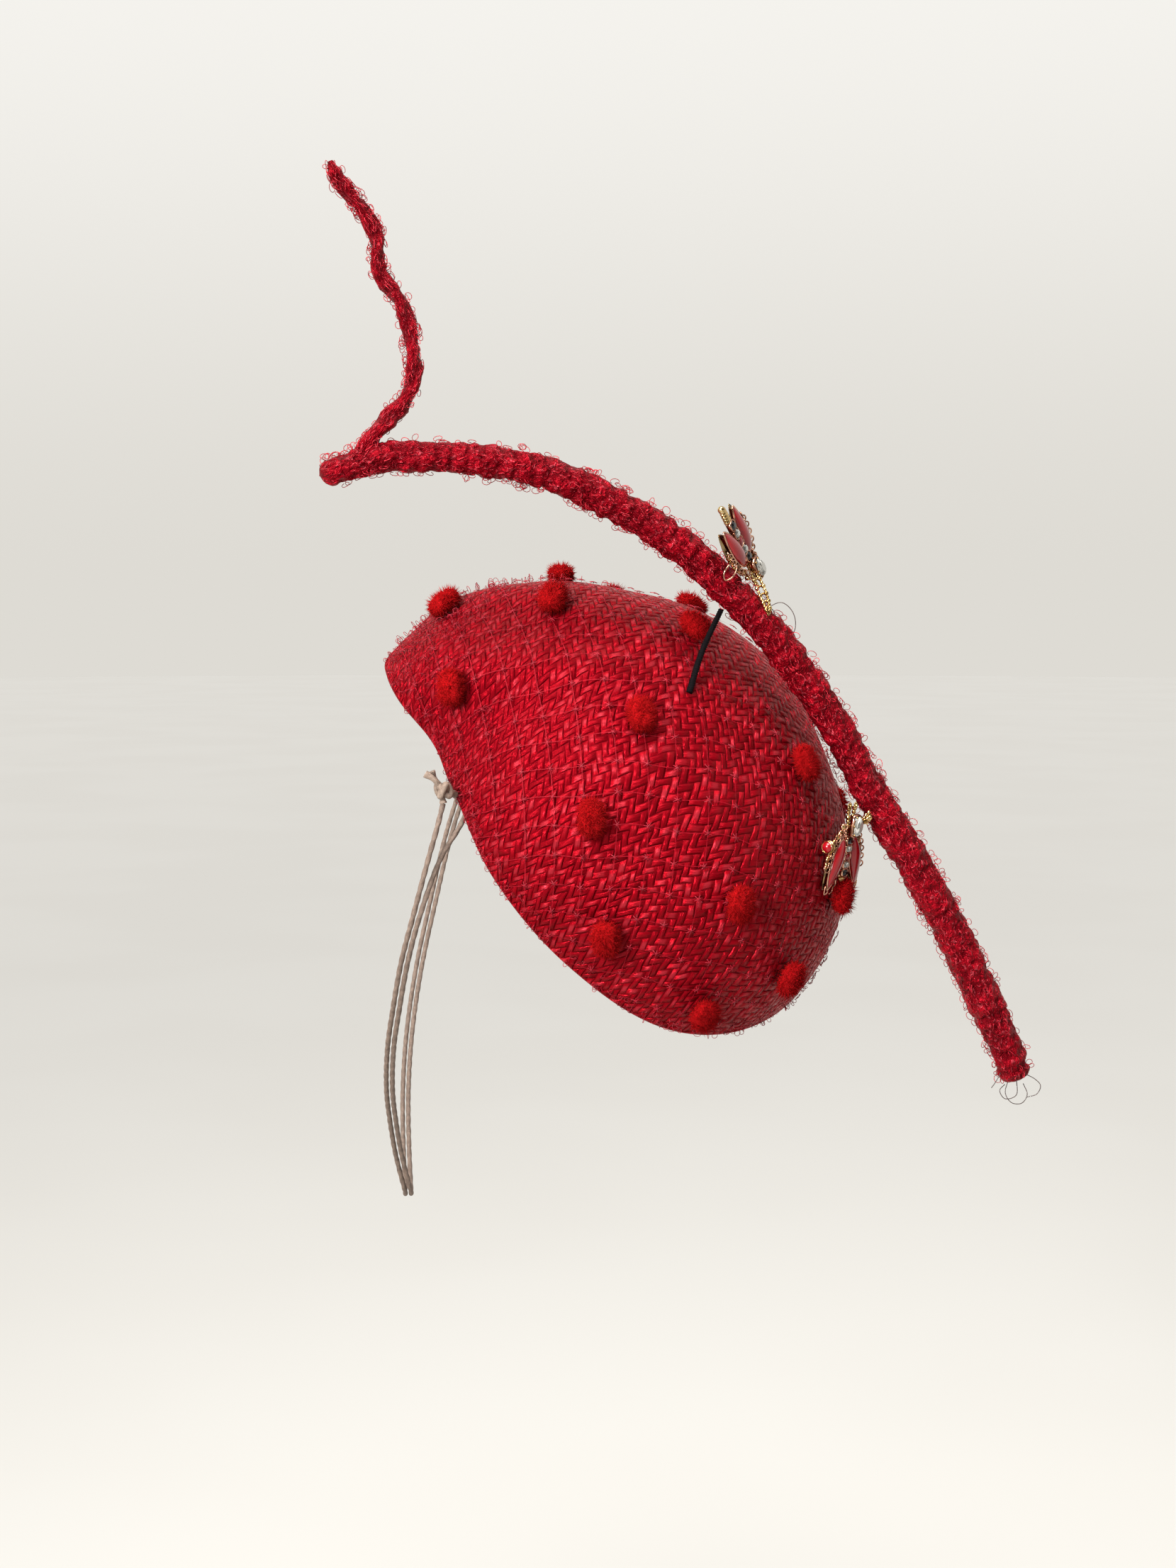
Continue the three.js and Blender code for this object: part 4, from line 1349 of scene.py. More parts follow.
@dataclass(frozen=True)
class Quill:
    """The long crin tube, its branch, their loose filament and the stem; routes are rows of (along, up, radius)."""

    form: CrownForm
    plane: QuillPlane = QuillPlane()
    main_route: tuple = (
        (-108, 109, 4.9), (-97, 112.5, 5.1), (-87, 115, 5.3), (-69, 115.5, 5.5), (-50, 114, 5.7), (-31, 110, 5.9),
        (-9, 100, 6.1), (14, 86, 6.2), (34, 68, 6.2), (52, 48, 6.3), (67, 27, 6.3), (81, 2.5, 6.4), (94.5, -18.5, 6.5),
        (106.5, -38, 6.6), (117, -57.5, 6.6), (127, -78, 6.5), (132, -88, 6.3), (137, -101, 5.6))
    tail_route: tuple = (
        (-94.5, 115.6, 2.6), (-90.4, 121.6, 3.1), (-85.5, 127.5, 3), (-81, 132, 2.8), (-78, 137.5, 2.7),
        (-77, 145, 2.7), (-77.5, 151, 2.7), (-78.7, 158, 2.6), (-81.5, 165.5, 2.6), (-85, 170, 2.6),
        (-88.3, 175, 2.6), (-88.7, 181, 2.5), (-89, 186, 2.5), (-92.7, 193.3, 2.5), (-97, 198, 2.6),
        (-100, 202, 2.6), (-102.3, 206, 2.2), (-103.5, 209, 1.2))
    stray_routes: tuple = (
        ((40, 60), (43, 65.5), (47.5, 67.5), (51.5, 64.5), (53, 59.5), (51.5, 55)),
        ((39, 61), (41.5, 65.5), (44.5, 65), (45, 61.5), (43, 59)),
        ((134, -101), (132, -106), (134, -109.5), (138, -110), (140.5, -107), (139.5, -103)),
        ((139, -99), (143, -101.5), (145, -104), (144, -107), (141, -108)),
        ((131, -98), (128.5, -101), (127.5, -104)),
        ((137, -102), (136, -107), (131.5, -108), (130, -105), (132.5, -103)))
    stray_lift: tuple = (0.6, -2.2, 0.4)
    fold: float = 5.4
    back_round: float = 5.0
    front_round: float = 4.0
    front_gather: float = 0.62
    thinnest: float = 0.15
    sides: int = 72
    tail_sides: int = 28
    loop_thick: float = 0.13
    stray_thick: float = 0.16
    stem_foot: tuple = (15, 0.07)
    stem_top: tuple = (27.1, 65.4)
    stem_sides: int = 14
    wrap: float = 0.09
    wrap_run: float = 0.9

    def route(self, rows: tuple, steps: int) -> tuple[Array, Array]:
        """A route's path and its radius at each step.

        Args:
            rows: the route.
            steps: how many pieces the path has.

        Returns:
            The path, and the radii read between the points nearest to the rows.
        """
        knots = self.plane.points(rows)
        path = spline(knots, steps)
        nearest = [np.argmin(np.linalg.norm(path - k, axis=1)) for k in knots]
        return path, np.interp(np.arange(steps + 1), nearest, np.array(rows)[:, 2])

    def relief(self, run: Array, turn: Array) -> Array:
        """How far the puckered crin stands out, in millimetres.

        Args:
            run: arc length along the tube.
            turn: the way round, in radians.

        Returns:
            A ring of folds every fold millimetres with uneven spacing, pillows between them, and fine crumple on top.
        """
        turns = turn / TURN
        place = run / self.fold + 0.35 * noise_field(run / 17, turns * 3, 3, 31)
        crease = np.abs(np.cos(math.pi * place)) ** 5
        cell = noise_field(run / 3.1, turns * 9, 9, 32)
        lump = noise_field(run / 7.5, turns * 5, 5, 33)
        ridge = 1 - 2 * np.abs(noise_field(run / 1.9, turns * 17, 17, 34))
        return -0.55 - 0.35 * crease + 0.5 * cell + 0.4 * lump + 0.42 * ridge

    def tube(self) -> Piece:
        """The long tube.

        Returns:
            The piece, closed softly at the back and gathered at the front.
        """
        path, radius = self.route(self.main_route, 600)
        run = run_length(path)
        stands = self.relief(*np.meshgrid(run, around(self.sides), indexing="ij"))
        gather = self.front_gather + (1 - self.front_gather) * quarter_round(run[-1] - run, self.front_round)
        ends = quarter_round(run, self.back_round) * gather
        shaped = (radius * ends)[:, None] + stands * np.clip(ends, 0.1, 1)[:, None]
        shape = tube(path, np.maximum(shaped, self.thinnest), self.sides)
        # fold carries painted shade: the crin shader darkens the tube where the relief sinks
        shape.fold = stands + 0.5
        return put("crin quill", shape, CRIN, "crin", "quill")

    def branch(self) -> Piece:
        """The thin end that leaves the tube near its back.

        Returns:
            The piece, twisted in two strands and crumpled.
        """
        path, radius = self.route(self.tail_route, 330)
        r, t = np.meshgrid(run_length(path), around(self.tail_sides), indexing="ij")
        twist = np.cos(2 * t - r / 2.6 + 0.8 * noise_field(r / 9, t * 0, 3, 41))
        crumple = noise_field(r / 2.1, t / TURN * 6, 6, 42)
        stands = radius[:, None] * (0.93 + 0.14 * twist) + 0.42 * crumple
        shape = tube(path, np.maximum(stands, self.thinnest), self.tail_sides)
        # fold carries painted shade: the crin shader darkens the sunken twist and crumple
        shape.fold = 0.35 * twist + 0.4 * crumple
        return put("crin branch", shape, CRIN, "crin", "quill_tail")

    def loops(self) -> Piece:
        """Filament loops that stand off both tubes.

        Returns:
            One piece with all of them.
        """
        rng = np.random.default_rng(21)
        steps, made = 400, []
        for rows, count, tall in ((self.main_route, 900, 2.1), (self.tail_route, 280, 1.7)):
            path, radius = self.route(rows, steps)
            first, second = side_frames(path)
            run = unit(np.gradient(path, axis=0))
            for _ in range(count):
                k = int(rng.integers(2, steps - 1))
                way = rng.uniform(0, TURN)
                out = first[k] * math.cos(way) + second[k] * math.sin(way)
                high = tall * rng.uniform(0.35, 1.0) ** 1.5 + 0.4
                side = unit(run[k] + out * rng.uniform(-0.3, 0.3) + np.cross(run[k], out) * rng.uniform(-0.6, 0.6))
                foot = path[k] + out * (radius[k] - 0.1)
                loop = thread_loop(foot, out, side, high, rng.uniform(0.7, 1.7), rng.uniform(-0.5, 0.5))
                made.append(tube(loop, self.loop_thick, 3))
        return put("crin filament loops", joined(made), FILAMENT, "crin")

    def strays(self) -> Piece:
        """The few long loops: above the stem and at the quill's front end.

        Returns:
            One piece, each loop bowed out of the plane by a sine of its lift.
        """
        lift = np.sin(np.linspace(0, math.pi, 31))[:, None] * self.stray_lift
        made = [tube(spline(self.plane.points(rows), 30) + lift, self.stray_thick, 5) for rows in self.stray_routes]
        return put("crin stray filaments", joined(made), DARK_FILAMENT, "crin")

    def stem(self) -> Piece:
        """The black wire that carries the quill.

        Returns:
            The piece, a slightly bowed taper wrapped with thread: radius + wrap·cos(turns of the wrap − turn).
        """
        place, out = self.form.spot(*self.stem_foot)
        foot, top = place + out * 0.6, self.plane.points((self.stem_top,))[0]
        path = spline((foot, (foot + top) / 2 - [1, 0, 0], top), 150)
        turns = run_length(path)[:, None] * TURN / self.wrap_run
        wrap = self.wrap * np.cos(turns - around(self.stem_sides)[None])
        radius = np.linspace(1.1, 0.9, len(path))[:, None] + wrap
        return put("wrapped stem", tube(path, radius, self.stem_sides), BLACK_WIRE, "black_wire", "stem")


# ---- the elastic ----


@dataclass(frozen=True)
class Elastic:
    """Two strands of hat elastic with a knot at each end."""

    diameter: float = 1.8
    spread: float = 2.15
    ply_run: float = 9
    sides: int = 14
    route: tuple = (
        (-59.6, -48.2, 1.4), (-61.8, -50.4, -7.5), (-64.2, -51.2, -16), (-69.7, -49.6, -36), (-74.1, -45.4, -52),
        (-78, -37.4, -71), (-80.6, -28.4, -85), (-82.4, -14.4, -103), (-82.4, -1.2, -118), (-81.4, 9.6, -133),
        (-79, 18, -148), (-79.6, 27, -151), (-81, 37, -139), (-82.2, 49, -120), (-81.8, 63, -99), (-79, 78, -75),
        (-74, 89, -50), (-68, 95.5, -24), (-60, 94.5, 0), (-51, 85, 22), (-42.5, 71, 40.5), (-35, 54, 54),
        (-30.8, 43, 61), (-28.9, 37.5, 66))
    inner_start: tuple = ((-50.9, -40, 1.4), (-54, -43.2, -6), (-60.6, -46.8, -17))
    near_knot: tuple = ((-59.5, -48.2, 5.8), (3.3, 3.0, 4.4))
    far_knot: tuple = ((-28, 34.6, 68), (3.2, 3, 2.8))
    near_tails: tuple = (
        ((-60.4, -48.2, 6.5), (-62.5, -49.4, 9.6), (-65.4, -49.2, 11.4)),
        ((-60.2, -47.2, 7), (-62.4, -46, 9.2), (-63.6, -46.2, 12)),
        ((-59.2, -47.2, 5), (-57.4, -45.8, 5.2), (-55.9, -43.6, 4)),
        ((-59.7, -48.2, 5), (-59.8, -48.3, 3.2), (-59.6, -48.2, 1.6)))

    def strand(self, name: str, node: str, knots: Array | tuple, seed: int, ends: list[Piece]) -> Piece:
        """One strand: two twisted plies with a fluffy cover.

        Args:
            name: the piece's name.
            node: the CAD node that it stands for.
            knots: points on its centre line.
            seed: turns the plies and starts the fluff.
            ends: not used.

        Returns:
            The piece.
        """
        path = spline(knots, 520)
        run = run_length(path)
        r, t = run[:, None], around(self.sides)[None]
        ply = np.abs(np.cos(t - r * TURN / self.ply_run + seed))
        radius = self.diameter / 2 * (0.83 + 0.2 * ply) + 0.03 * noise_field(r / 0.8, t / TURN * 7, 7, seed)
        piece = put(name, tube(path, radius, self.sides), ELASTIC, "elastic", node)
        line = spline(knots, 160) * MM
        return piece

    @staticmethod
    def knot(name: str, node: str, centre: tuple, radii: tuple, tails: tuple = ()) -> Piece:
        """An overhand knot drawn tight, with its cut ends.

        Args:
            name: the piece's name.
            node: the CAD node that it stands for.
            centre: its middle.
            radii: half its size each way.
            tails: three points on each cut end.

        Returns:
            The piece, round (sin t + 2·sin 2t, cos t − 2·cos 2t, −1.6·sin 3t) / 3, its tails fraying outward.
        """
        t = np.linspace(0, TURN, 97)
        loop = np.stack([np.sin(t) + 2 * np.sin(2 * t), np.cos(t) - 2 * np.cos(2 * t), -1.6 * np.sin(3 * t)], 1) / 3
        fray = 0.95 + 0.35 * smoothstep(np.arange(25), 14, 24)
        made = [tube(loop * (np.array(radii) - 0.8) + centre, 1.0, 10)]
        made += [tube(spline(tail, 24), fray, 9) for tail in tails]
        return put(name, joined(made), ELASTIC_KNOT, "elastic", node)

    def build(self) -> list[Piece]:
        """Both strands and both knots.

        Returns:
            The four pieces. The inner strand is its own start, then the outer one moved forward by the spread.
        """
        route = np.array(self.route)
        at = np.arange(len(self.inner_start), len(route))
        along = unit(route[np.minimum(at + 1, len(route) - 1)] - route[at - 1])
        forward = unit(np.array([1.0, 0, 0]) - along * along[:, :1])
        inner = np.vstack([self.inner_start, route[at] + forward * self.spread])
        near = self.knot("elastic knot", "elastic_knot", *self.near_knot, self.near_tails)
        far = self.knot("elastic far knot", "elastic_far_knot", *self.far_knot)
        return [self.strand("elastic outer strand", "elastic_outer", self.route, 1, [near, far]),
                self.strand("elastic inner strand", "elastic_inner", inner, 2, []), near, far]


# ---- the brooches ----


class Side(Enum):
    """The brooch's two sides, by the sign of v."""

    RIGHT = 1
    LEFT = -1


@dataclass(frozen=True)
class Lathe:
    """Rings of points round an upright line; the profile is each ring's (reach, up), as shares of the size."""

    profile: tuple
    square: float = 0
    stagger: float = 0
    faceted: bool = False
    ended: bool = True
    mapped: bool = False

    def shape(self, size: tuple, at: tuple, sides: int = 20) -> Shape:
        """The rings as a shape.

        Args:
            size: (length, width, height).
            at: the foot's middle.
            sides: points in a ring.

        Returns:
            at + size·(reach·cos, reach·sin, up), cos and sin divided by the larger one's size^square, every second
            ring turned by stagger sides.
        """
        rings = []
        for k, (reach, up) in enumerate(self.profile):
            turn = (np.arange(sides) + k % 2 * self.stagger) * TURN / sides
            way = np.stack([np.cos(turn), np.sin(turn)], 1)
            way /= np.abs(way).max(axis=1, keepdims=True) ** self.square
            rings.append(np.hstack([way * reach, np.full((sides, 1), up)]) * size + at)
        points, walls = np.vstack(rings), grid_faces(len(rings), sides, True)
        if self.faceted:
            walls = np.vstack([walls[:, [0, 1, 2]], walls[:, [0, 2, 3]]])
        ends = [end_faces(len(rings), sides)] if self.ended else []
        return Shape(points, [walls] + ends, points[:, :2] if self.mapped else None)


CUT_STONE = Lathe(((0.25, 0.0), (0.5, 0.4), (0.5, 0.5), (0.42, 0.78), (0.28, 1.0)), stagger=0.5, faceted=True)
BEZEL = Lathe(((0.5, 0.0), (0.58, 0.0), (0.6, 0.6), (0.56, 1.0), (0.5, 0.92), (0.48, 0.5), (0.5, 0.0)), square=0.55,
              ended=False)
PAD = Lathe(((0.9, 0), (1, 0.5), (0.92, 0.82), (0.6, 1.0), (0.05, 1.05)), square=0.7, mapped=True)


def bead(centre: Array | tuple, radius: float | Array, squash: float = 1.0) -> Shape:
    """A small bead.

    Args:
        centre: its middle.
        radius: one for all ways, or one each way.
        squash: its height as a share of its width.

    Returns:
        The bead.
    """
    shape = ball(7, 10)[0]
    shape.points = shape.points * [1, 1, squash] * radius + centre
    return shape


def flower(centre: Array, size: float) -> Shape:
    """A little six-lobed cap with a bead in the middle."""
    lobes = [bead(centre + size * np.array([math.cos(a), math.sin(a), 0]), size * 0.55, 0.6) for a in around(6)]
    return joined(lobes + [bead(centre + [0, 0, size * 0.35], size * 0.6)])


def bead_row(path: Array, radii: tuple) -> Shape:
    """Beads along a wire.

    Args:
        path: the wire.
        radii: the beads' sizes, taken by turns.

    Returns:
        The wire with a bead at its start and 1.75 of the last bead's radius on, up to its end.
    """
    shapes, at, k = [tube(path, 0.38, 6)], 0.0, 0
    while at <= run_length(path)[-1]:
        radius = radii[k % len(radii)]
        shapes.append(bead(at_run(path, at), radius))
        at += radius * 1.75
        k += 1
    return joined(shapes)


def ring_row(path: Array) -> Shape:
    """Small open rings set along a wire.

    Args:
        path: the rings' middles.

    Returns:
        The rings, tilted this way and that, a little above the path.
    """
    turn = np.linspace(0, TURN, 13)
    shapes = []
    for k, centre in enumerate(path):
        tilt = 0.6 * (-1) ** k
        ring = 1.1 * np.stack([np.cos(turn), np.sin(turn) * math.cos(tilt), np.sin(turn) * math.sin(tilt)], 1)
        shapes.append(tube(centre + [0, 0, 0.7] + ring, 0.28, 5, False))
    return joined(shapes)


def bead_hoops(centre: Array, radius: float) -> Shape:
    """Three hoops of wire round a side bead, and the pin that holds it.

    Args:
        centre: the bead's middle.
        radius: the bead's.

    Returns:
        The wire, each hoop on the ball a little outside the bead.
    """
    turn = np.linspace(0, TURN, 21)
    wires = []
    for off in (-0.9, 0.0, 0.9):
        reach = math.sqrt(radius**2 - off**2) + 0.1
        hoop = np.stack([reach * np.cos(turn), np.full(21, off), reach * np.sin(turn)], 1)
        wires.append(tube(centre + hoop, 0.24, 5, False))
    return joined(wires + [tube([centre, centre * [1, 0.62, 1] + [-1.2, 0, 0.6]], 0.3, 6)])


CELL_LOOKS = {"jet": (JET, "jet"), "clear": (CRYSTAL, "crystal"), "enamel": (CELL_ENAMEL, "enamel")}


@dataclass(frozen=True)
class Brooch:
    """A gilt insect with enamel wings, a row of set stones and a head stone; rows are (u to the tail, v, w outward)."""

    name: str
    origin: tuple
    to_tail: tuple
    outward: tuple
    flare_deg: float
    pitch: float
    tail: float
    arm_share: float
    arm_stout: float
    post: float
    tray_out: float
    legs: tuple = ()
    wire: tuple = ()
    side_bead: tuple = ()
    side_bead_radius: float = 2.1
    cells: tuple = ("jet_front", "clear_front", "enamel_mid", "clear_back", "jet_back")
    first_cell: float = 1.8
    head: tuple = (-3.8, 0.0)
    wing: tuple = (18.0, 6.2)
    wing_thick: float = 1.9
    wing_root: float = 1.0
    wing_spread: float = 3.3
    tray_low: float = 0.1
    tray_top: float = 1.2
    rail_thick: float = 0.34
    leg_thick: float = 0.26
    wire_thick: float = 0.28
    garland: tuple = ((-3.6, 2.6, 0.9), (-2.4, 1.6, 0.6), (1.6, 4, 0.5), (6.5, 4.9, 0.5), (12, 4.2, 0.5))
    antenna: tuple = ((-2, 0.8, 0.6), (-5.5, 1.4, 0.7), (-9.5, 1.9, 0.6))
    antenna_tip: tuple = (-10.4, 2.0, 0.8)
    arm_line: tuple = ((-2.4, 1.4, 1.4), (-5.4, 4.4, 3.2), (-7.6, 8, 5), (-9.5, 12, 6.8), (-10.2, 15, 8))
    arm_across: tuple = (-0.13, -0.5, 0.85)

    def piece(self, word: str, shape: Shape, finish: Finish, slot: str, node: str, sharp: bool = False) -> Piece:
        """Makes one of the brooch's pieces.

        Args:
            word: what follows the brooch's name.
            shape: its shape in the brooch's frame.
            finish: its look.
            slot: the record's material slot.
            node: what follows the brooch's name in the CAD node's.
            sharp: flat facets in place of smooth ones.

        Returns:
            The piece, its u along to_tail, w along the part of outward that is square to u, and v = w × u.
        """
        u = unit(np.array(self.to_tail, float))
        w = np.array(self.outward, float)
        w = unit(w - u * float(u @ w))
        placed = shape.moved(np.stack([u, np.cross(w, u), w]), np.array(self.origin, float))
        return put(f"{self.name.replace('_', ' ')} {word}", placed, finish, slot, f"{self.name}_{node}", sharp=sharp)

    def on_wing(self, shape: Shape, side: Side) -> Shape:
        """Lays a wing's shape on the brooch.

        Args:
            shape: a shape in the wing's frame.
            side: the wing's side.

        Returns:
            The shape turned by the flare and moved to the wing's root.
        """
        flare = math.radians(side.value * self.flare_deg)
        turn = np.array([[math.cos(flare), math.sin(flare), 0], [-math.sin(flare), math.cos(flare), 0], [0, 0, 1]])
        return shape.moved(turn, np.array([self.wing_root, side.value * self.wing_spread, 0.0]))

    @staticmethod
    def line(rows: tuple, side: Side, steps: int) -> Array:
        """A curve through rows, mirrored to the side."""
        return spline(np.array(rows, float) * [1, side.value, 1], steps)

    @staticmethod
    def fullness(share: Array) -> Array:
        """A wing's half-width along it: sin(π·share^.8)^.7."""
        return np.sin(math.pi * np.clip(share, 0, 1) ** 0.8) ** 0.7

    def leaf(self, length: float, width: float, low: float, high: float) -> Shape:
        """A domed leaf on a flat back.

        Args:
            length: how long it is.
            width: how wide it is.
            low: the back's level.
            high: the dome's level.

        Returns:
            The leaf, its map (u, v).
        """
        rows, sides = 33, 14
        share = np.linspace(0.004, 0.996, rows)[:, None]
        full = self.fullness(share)
        turn = np.linspace(0, math.pi, sides - 1)
        y, z = np.append(np.cos(turn), 0), np.append(np.sin(turn) ** 0.75, 0)
        points = np.stack([share * length + y * 0, y * full * width / 2, low + z * (high - low) * full], -1)
        points = points.reshape(-1, 3)
        return Shape(points, [grid_faces(rows, sides, True), end_faces(rows, sides)], points[:, :2])

    def edging(self, larger: float, level: float) -> Shape:
        """A wire round the wing's edge.

        Args:
            larger: how much longer and wider than the wing it is.
            level: how high it lies.

        Returns:
            The wire, closed on itself.
        """
        length, width = self.wing
        share = np.linspace(0.004, 0.996, 26)
        out = np.stack([share * (length + larger), self.fullness(share) * (width + larger) / 2, share * 0 + level], 1)
        return tube(np.vstack([out, out[::-1] * [1, -1, 1], out[:1]]), self.rail_thick, 6, False)

    def arm(self) -> Shape:
        """The open-work arm.

        Returns:
            Two bead rows that open and close by a sine, rungs between them, and a little flower at the end.
        """
        path = spline(self.arm_line, 60)[:int(61 * self.arm_share)]
        across = np.array(self.arm_across) * 1.15 * self.arm_stout
        run = run_length(path)
        opening = np.sin(np.linspace(0.5, math.pi - 0.5, len(path)))[:, None]
        shapes = []
        for way in (-1, 1):
            rail = path + across * way * opening
            spots = at_run(rail, np.arange(0, run[-1], 1.5), run)
            shapes.append(tube(rail, self.rail_thick, 6))
            shapes += [bead(spot, (0.85 if k % 2 else 0.62) * self.arm_stout) for k, spot in enumerate(spots)]
        rungs = at_run(path, np.arange(1.2, run[-1], 3.0))
        shapes += [tube([spot - across, spot + across], 0.4, 6) for spot in rungs]
        return joined(shapes + [flower(path[-1], 1.25 * self.arm_stout)])

    def frame(self) -> None:
        """The gilt work in three platings: trays, spine, head cup, bead rows, arm, tail and post."""
        length, width = self.wing
        cells_end = self.first_cell + 4.5 * self.pitch + 0.4
        tail_end = cells_end + self.tail - 1.5
        turn = around(12)
        oval = 1 / np.sqrt((np.cos(turn) / 0.62) ** 2 + (np.sin(turn) / 2.0) ** 2)
        spine = np.linspace((-1, 0, 0.62), (cells_end, 0, 0.62), 30)
        gilt, rosy, tray = [], [tube(spine, np.broadcast_to(oval, (30, 12)), 12)], []
        for side in Side:
            plate = self.leaf(length + 1, width + 1 + self.tray_out, self.tray_low - 0.3, self.tray_top)
            plate.points[:, 1] += 0.8 * self.tray_out * side.value
            tray.append(self.on_wing(plate, side))
            rosy.append(self.on_wing(self.edging(0.5, self.tray_top + 0.25), side))
            gilt.append(self.on_wing(bead_row(self.line(self.garland, side, 60), (1.1, 0.8, 1.0)), side))
            rosy.append(self.on_wing(ring_row(self.line(self.garland, side, 12)), side))
            gilt.append(bead_row(self.line(self.antenna, side, 60), (0.8, 0.95)))
            gilt.append(flower(np.array(self.antenna_tip) * [1, side.value, 1], 0.9))
            rosy += [self.on_wing(tube(self.line(leg, side, 24), self.leg_thick, 6), side) for leg in self.legs]
        for k in range(len(self.cells)):
            rosy.append(BEZEL.shape((self.pitch - 0.35, 3.5, 1.35), (self.first_cell + k * self.pitch, 0.0, 1.0)))
        rosy.append(BEZEL.shape((7.1, 4.5, 1.6), (*self.head, 2.3), 24))
        gilt.append(tube([(-2.4, 0, 0.2), (-2.6, 0, 1.4), (-3.2, 0, 2.6)], np.array([1.5, 1.7, 2.0]), 12))
        claws = around(6) + 0.5
        gilt += [bead((self.head[0] + 3.5 * math.cos(a), 2.2 * math.sin(a), 3.95), 0.42) for a in claws]
        gilt.append(self.arm())
        segments = max(2, int((self.tail - 1.5) / 1.1) + 1)
        for k, u in enumerate(np.linspace(cells_end + 0.4, tail_end, segments)):
            gilt.append(bead((u, 0, 1.0), np.array([0.75, 2.1 - 0.12 * k, 1.25])))
        gilt.append(tube([(cells_end - 0.2, 0, 0.9), (tail_end + 0.6, 0, 0.9)], 0.9, 10))
        gilt.append(bead((tail_end + 0.3, 0, 0.9), 1.35))
        gilt.append(tube([(5, 0, 0.4), (5, 0, self.tray_low - self.post)], 1.0, 12))
        if self.wire:
            rosy.append(tube(spline(self.wire, 40), self.wire_thick, 6))
        if self.side_bead:
            gilt.append(bead_hoops(np.array(self.side_bead), self.side_bead_radius))
        for word, shapes, finish in (("gilt", gilt, GILT), ("rims", rosy, ROSE_GILT), ("trays", tray, TRAY_GILT)):
            self.piece(word, joined(shapes), finish, "gilt", "frame")

    def stones(self) -> None:
        """The wings and every set stone."""
        low = self.tray_top + 0.15
        for side in Side:
            word = side.name.lower()
            wing = self.on_wing(self.leaf(*self.wing, low, low + self.wing_thick), side)
            self.piece(f"{word} wing", wing, WING_ENAMEL, "enamel", f"wing_{word}")
        for k, cell in enumerate(self.cells):
            finish, slot = CELL_LOOKS[cell.split("_")[0]]
            at = (self.first_cell + k * self.pitch, 0.0, 1.4)
            long, sharp = self.pitch - 0.5, finish is not CELL_ENAMEL
            shape = CUT_STONE.shape((long, 3.1, 1.5), at, 8) if sharp else PAD.shape((0.45 * long, 1.35, 1.1), at)
            self.piece(cell.replace("_", " "), shape, finish, slot, cell, sharp)
        if self.side_bead:
            shape = bead(self.side_bead, self.side_bead_radius)
            shape.uv = np.full((len(shape.points), 2), [9.0, 0.0])
            self.piece("side bead", shape, WING_ENAMEL, "enamel", "frame")
        head = CUT_STONE.shape((7, 4.4, 2.4), (*self.head, 3.1), 12)
        self.piece("head stone", head, CRYSTAL, "crystal", "head_stone", True)

    def build(self) -> None:
        """The whole brooch."""
        self.frame()
        self.stones()


BROOCHES = (
    Brooch("top_brooch", origin=(41.9, -25.1, 82), to_tail=(-0.416, -0.584, 0.696), outward=(0.87, -0.478, 0.12),
           flare_deg=10, pitch=3.6, tail=6.4, arm_share=1.0, arm_stout=1.0, post=2.7, tray_out=1.3,
           wire=((8.5, 8.6, 1.6), (9.1, 11.6, 0.4), (8.3, 14.2, -1.0), (6.3, 15.4, -1.2), (5.6, 14.2, 0.4),
                 (6.1, 11.8, 1.8), (6.5, 8.8, 1.6))),
    Brooch("front_brooch", origin=(77.1, -24, -11.6), to_tail=(-0.14, 0.1, -0.985), outward=(0.79, -0.59, -0.17),
           flare_deg=19, pitch=2.8, tail=2.1, arm_share=0.42, arm_stout=1.35, post=3.4, tray_out=0.3,
           legs=(((17.5, 1.6, 1.4), (19.2, 1.2, 1.2), (20.2, 0.2, 1.0), (19.6, -0.8, 1.2), (18.6, -0.6, 1.4)),
                 ((14.0, -3.2, 1.5), (15.5, -3.9, 1.6), (16.6, -3.3, 1.4), (18.0, -3.9, 1.2), (19.4, -3.0, 1.0))),
           side_bead=(3.6, -10.4, -0.2)),
)


# ---- the studio ----


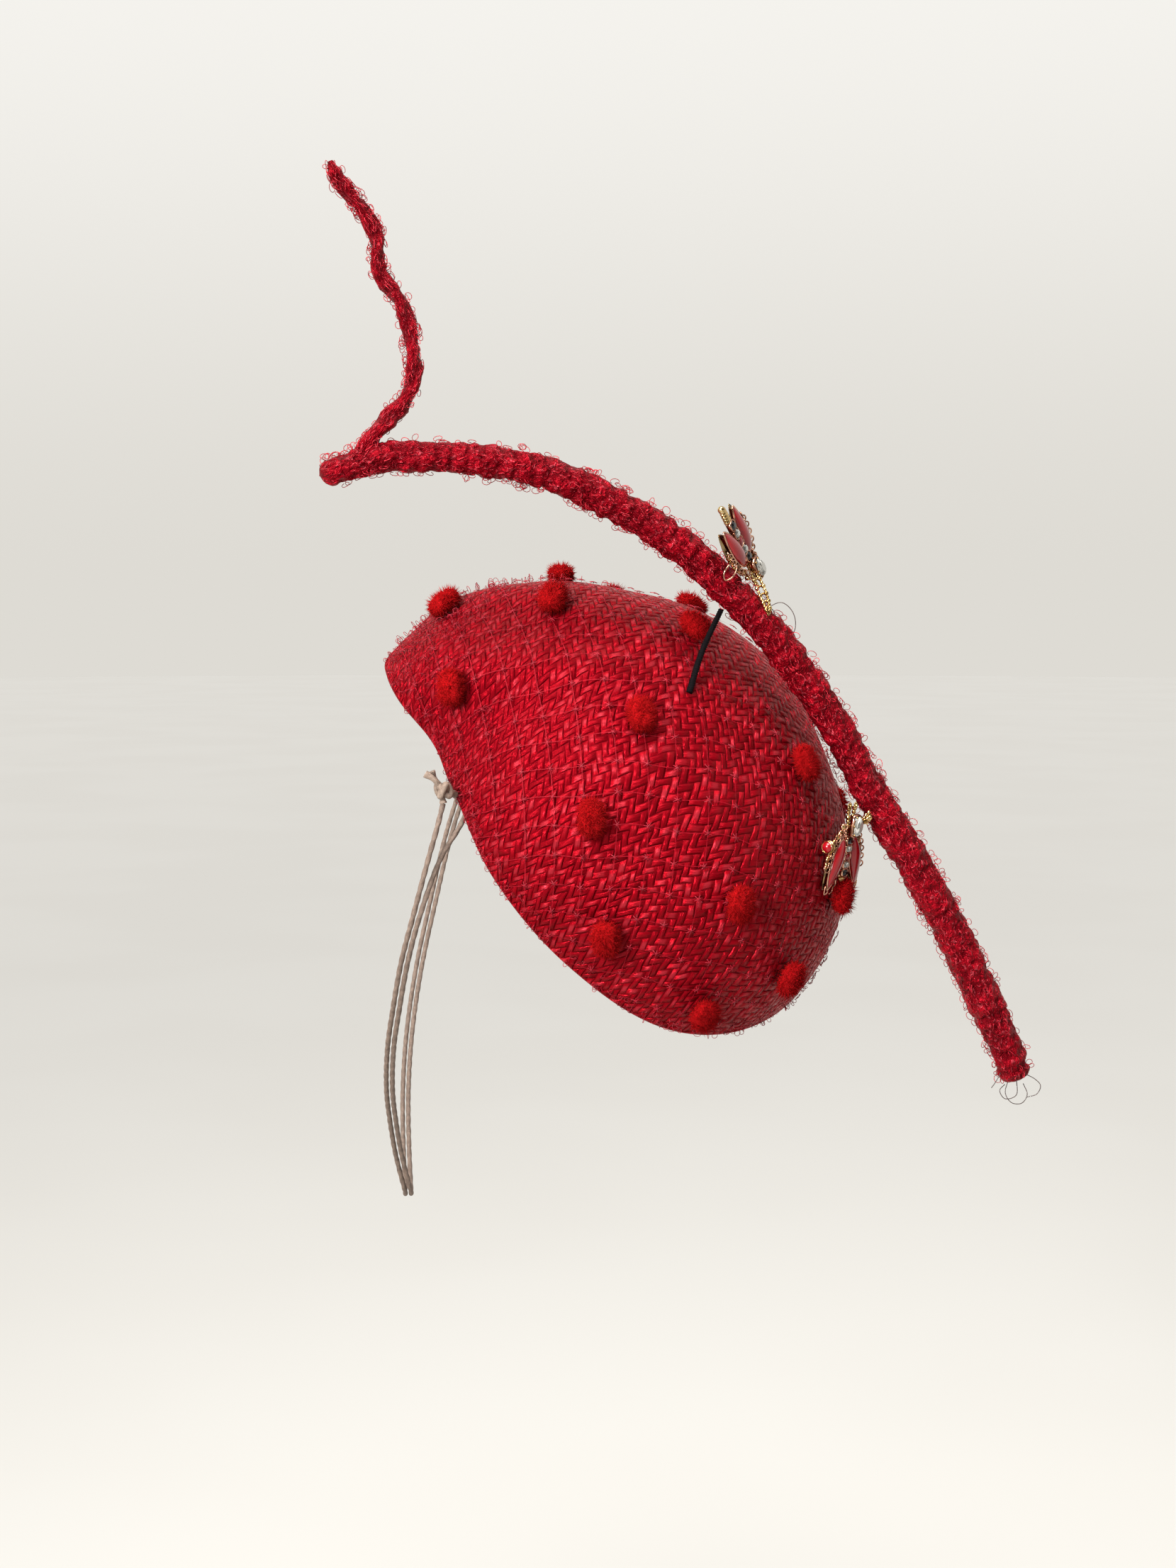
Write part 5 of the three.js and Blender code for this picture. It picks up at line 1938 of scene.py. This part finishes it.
@dataclass(frozen=True)
class Studio:
    """Camera, lights, world and floor, in metres."""

    aim: tuple = (-0.0115, -0.018, 0.0053)
    distance: float = 0.75
    rise_deg: float = 5
    lens: float = 49.8
    sensor: float = 36
    near: float = 0.05
    spread_deg: float = 70
    lamps: tuple = (
        ("window", (-0.66, -0.94, 0.46), 0.26, 3.5, (1.0, 0.98, 0.96)),
        ("glint", (-0.5, -1.04, 0.06), 0.1, 0.95, (1.0, 0.98, 0.97)),
        ("sky", (-0.16, -0.5, 1.4), 0.9, 6.6, (1.0, 0.99, 0.97)))
    horizon: Colour = linear(222, 219, 212)
    zenith: Colour = linear(246, 244, 239)
    behind_camera: Colour = linear(110, 107, 103)
    floor_z: float = -0.40
    floor_rings: tuple = (0.4, 12)
    floor_sides: int = 96

    @staticmethod
    def stand(thing: Piece, place: Vector, aim: Vector) -> None:
        """Stands a camera or a lamp.

        Args:
            thing: its object.
            place: where it stands.
            aim: what it faces.
        """
        thing.location = place
        thing.rotation_mode = "QUATERNION"
        thing.rotation_quaternion = (aim - place).to_track_quat("-Z", "Y")
        bpy.context.scene.collection.objects.link(thing)

    def camera(self) -> None:
        """The camera, level with the object and a little above."""
        data = bpy.data.cameras.new("camera")
        data.lens, data.sensor_width, data.clip_start = self.lens, self.sensor, self.near
        data.sensor_fit = "AUTO"
        camera = bpy.data.objects.new("camera", data)
        rise, aim = math.radians(self.rise_deg), Vector(self.aim)
        self.stand(camera, aim + Vector((0, -math.cos(rise), math.sin(rise))) * self.distance, aim)
        bpy.context.scene.camera = camera

    def light(self) -> None:
        """Window light from the left, a small glint, a weak sky and pale surroundings, darker behind the camera."""
        for name, place, size, watts, tone in self.lamps:
            data = bpy.data.lights.new(name, "AREA")
            data.size, data.energy, data.color, data.spread = size, watts, tone, math.radians(self.spread_deg)
            self.stand(bpy.data.objects.new(name, data), Vector(place), Vector(self.aim))
        world = bpy.data.worlds.new("pale room")
        world.use_nodes = True
        g = Graph(world.node_tree)
        _, ahead, high = g.parts(g.value("ShaderNodeTexCoord", out="Generated"))
        pale = g.mix(g.spread(high, 0.0, 0.3), self.horizon, self.zenith)
        ground = world.node_tree.nodes["Background"]
        g.feed(ground.inputs["Color"], g.mix(g.spread(ahead, -0.75, 0.05), self.behind_camera, pale))
        ground.inputs["Strength"].default_value = 1.0
        scene = bpy.context.scene
        scene.world = world
        scene.view_settings.view_transform = "Standard"

    def floor(self) -> None:
        """A wide pale floor well below the hat."""
        turn = around(self.floor_sides)
        ring = np.stack([np.cos(turn), np.sin(turn), turn * 0], 1)
        points = np.vstack([ring * reach for reach in self.floor_rings]) + [0, 0, self.floor_z]
        faces = grid_faces(2, self.floor_sides, True).tolist() + [list(range(self.floor_sides))]
        mesh = bpy.data.meshes.new("floor")
        mesh.from_pydata(points.tolist(), [], faces)
        mesh.materials.append(FLOOR.material())
        floor = bpy.data.objects.new("floor", mesh)
        bpy.context.scene.collection.objects.link(floor)


def main() -> None:
    """Builds the studio, the elastic, then the hat from the crown outward."""
    logging.basicConfig(level=logging.INFO, format="%(name)s: %(message)s")
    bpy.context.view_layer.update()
    studio = Studio()
    studio.camera()
    elastic = Elastic().build()
    form = CrownForm()
    crown = Crown(form)
    crown.outside()
    crown.inside()
    veil = Veil(form)
    veil.net([veil.knots(), veil.edge_loops()])
    Dots(form).build()
    quill = Quill(form)
    for build in (quill.tube, quill.branch, quill.loops, quill.strays, quill.stem):
        build()
    for brooch in BROOCHES:
        brooch.build()
    studio.light()
    studio.floor()


if __name__ == "__main__":
    main()
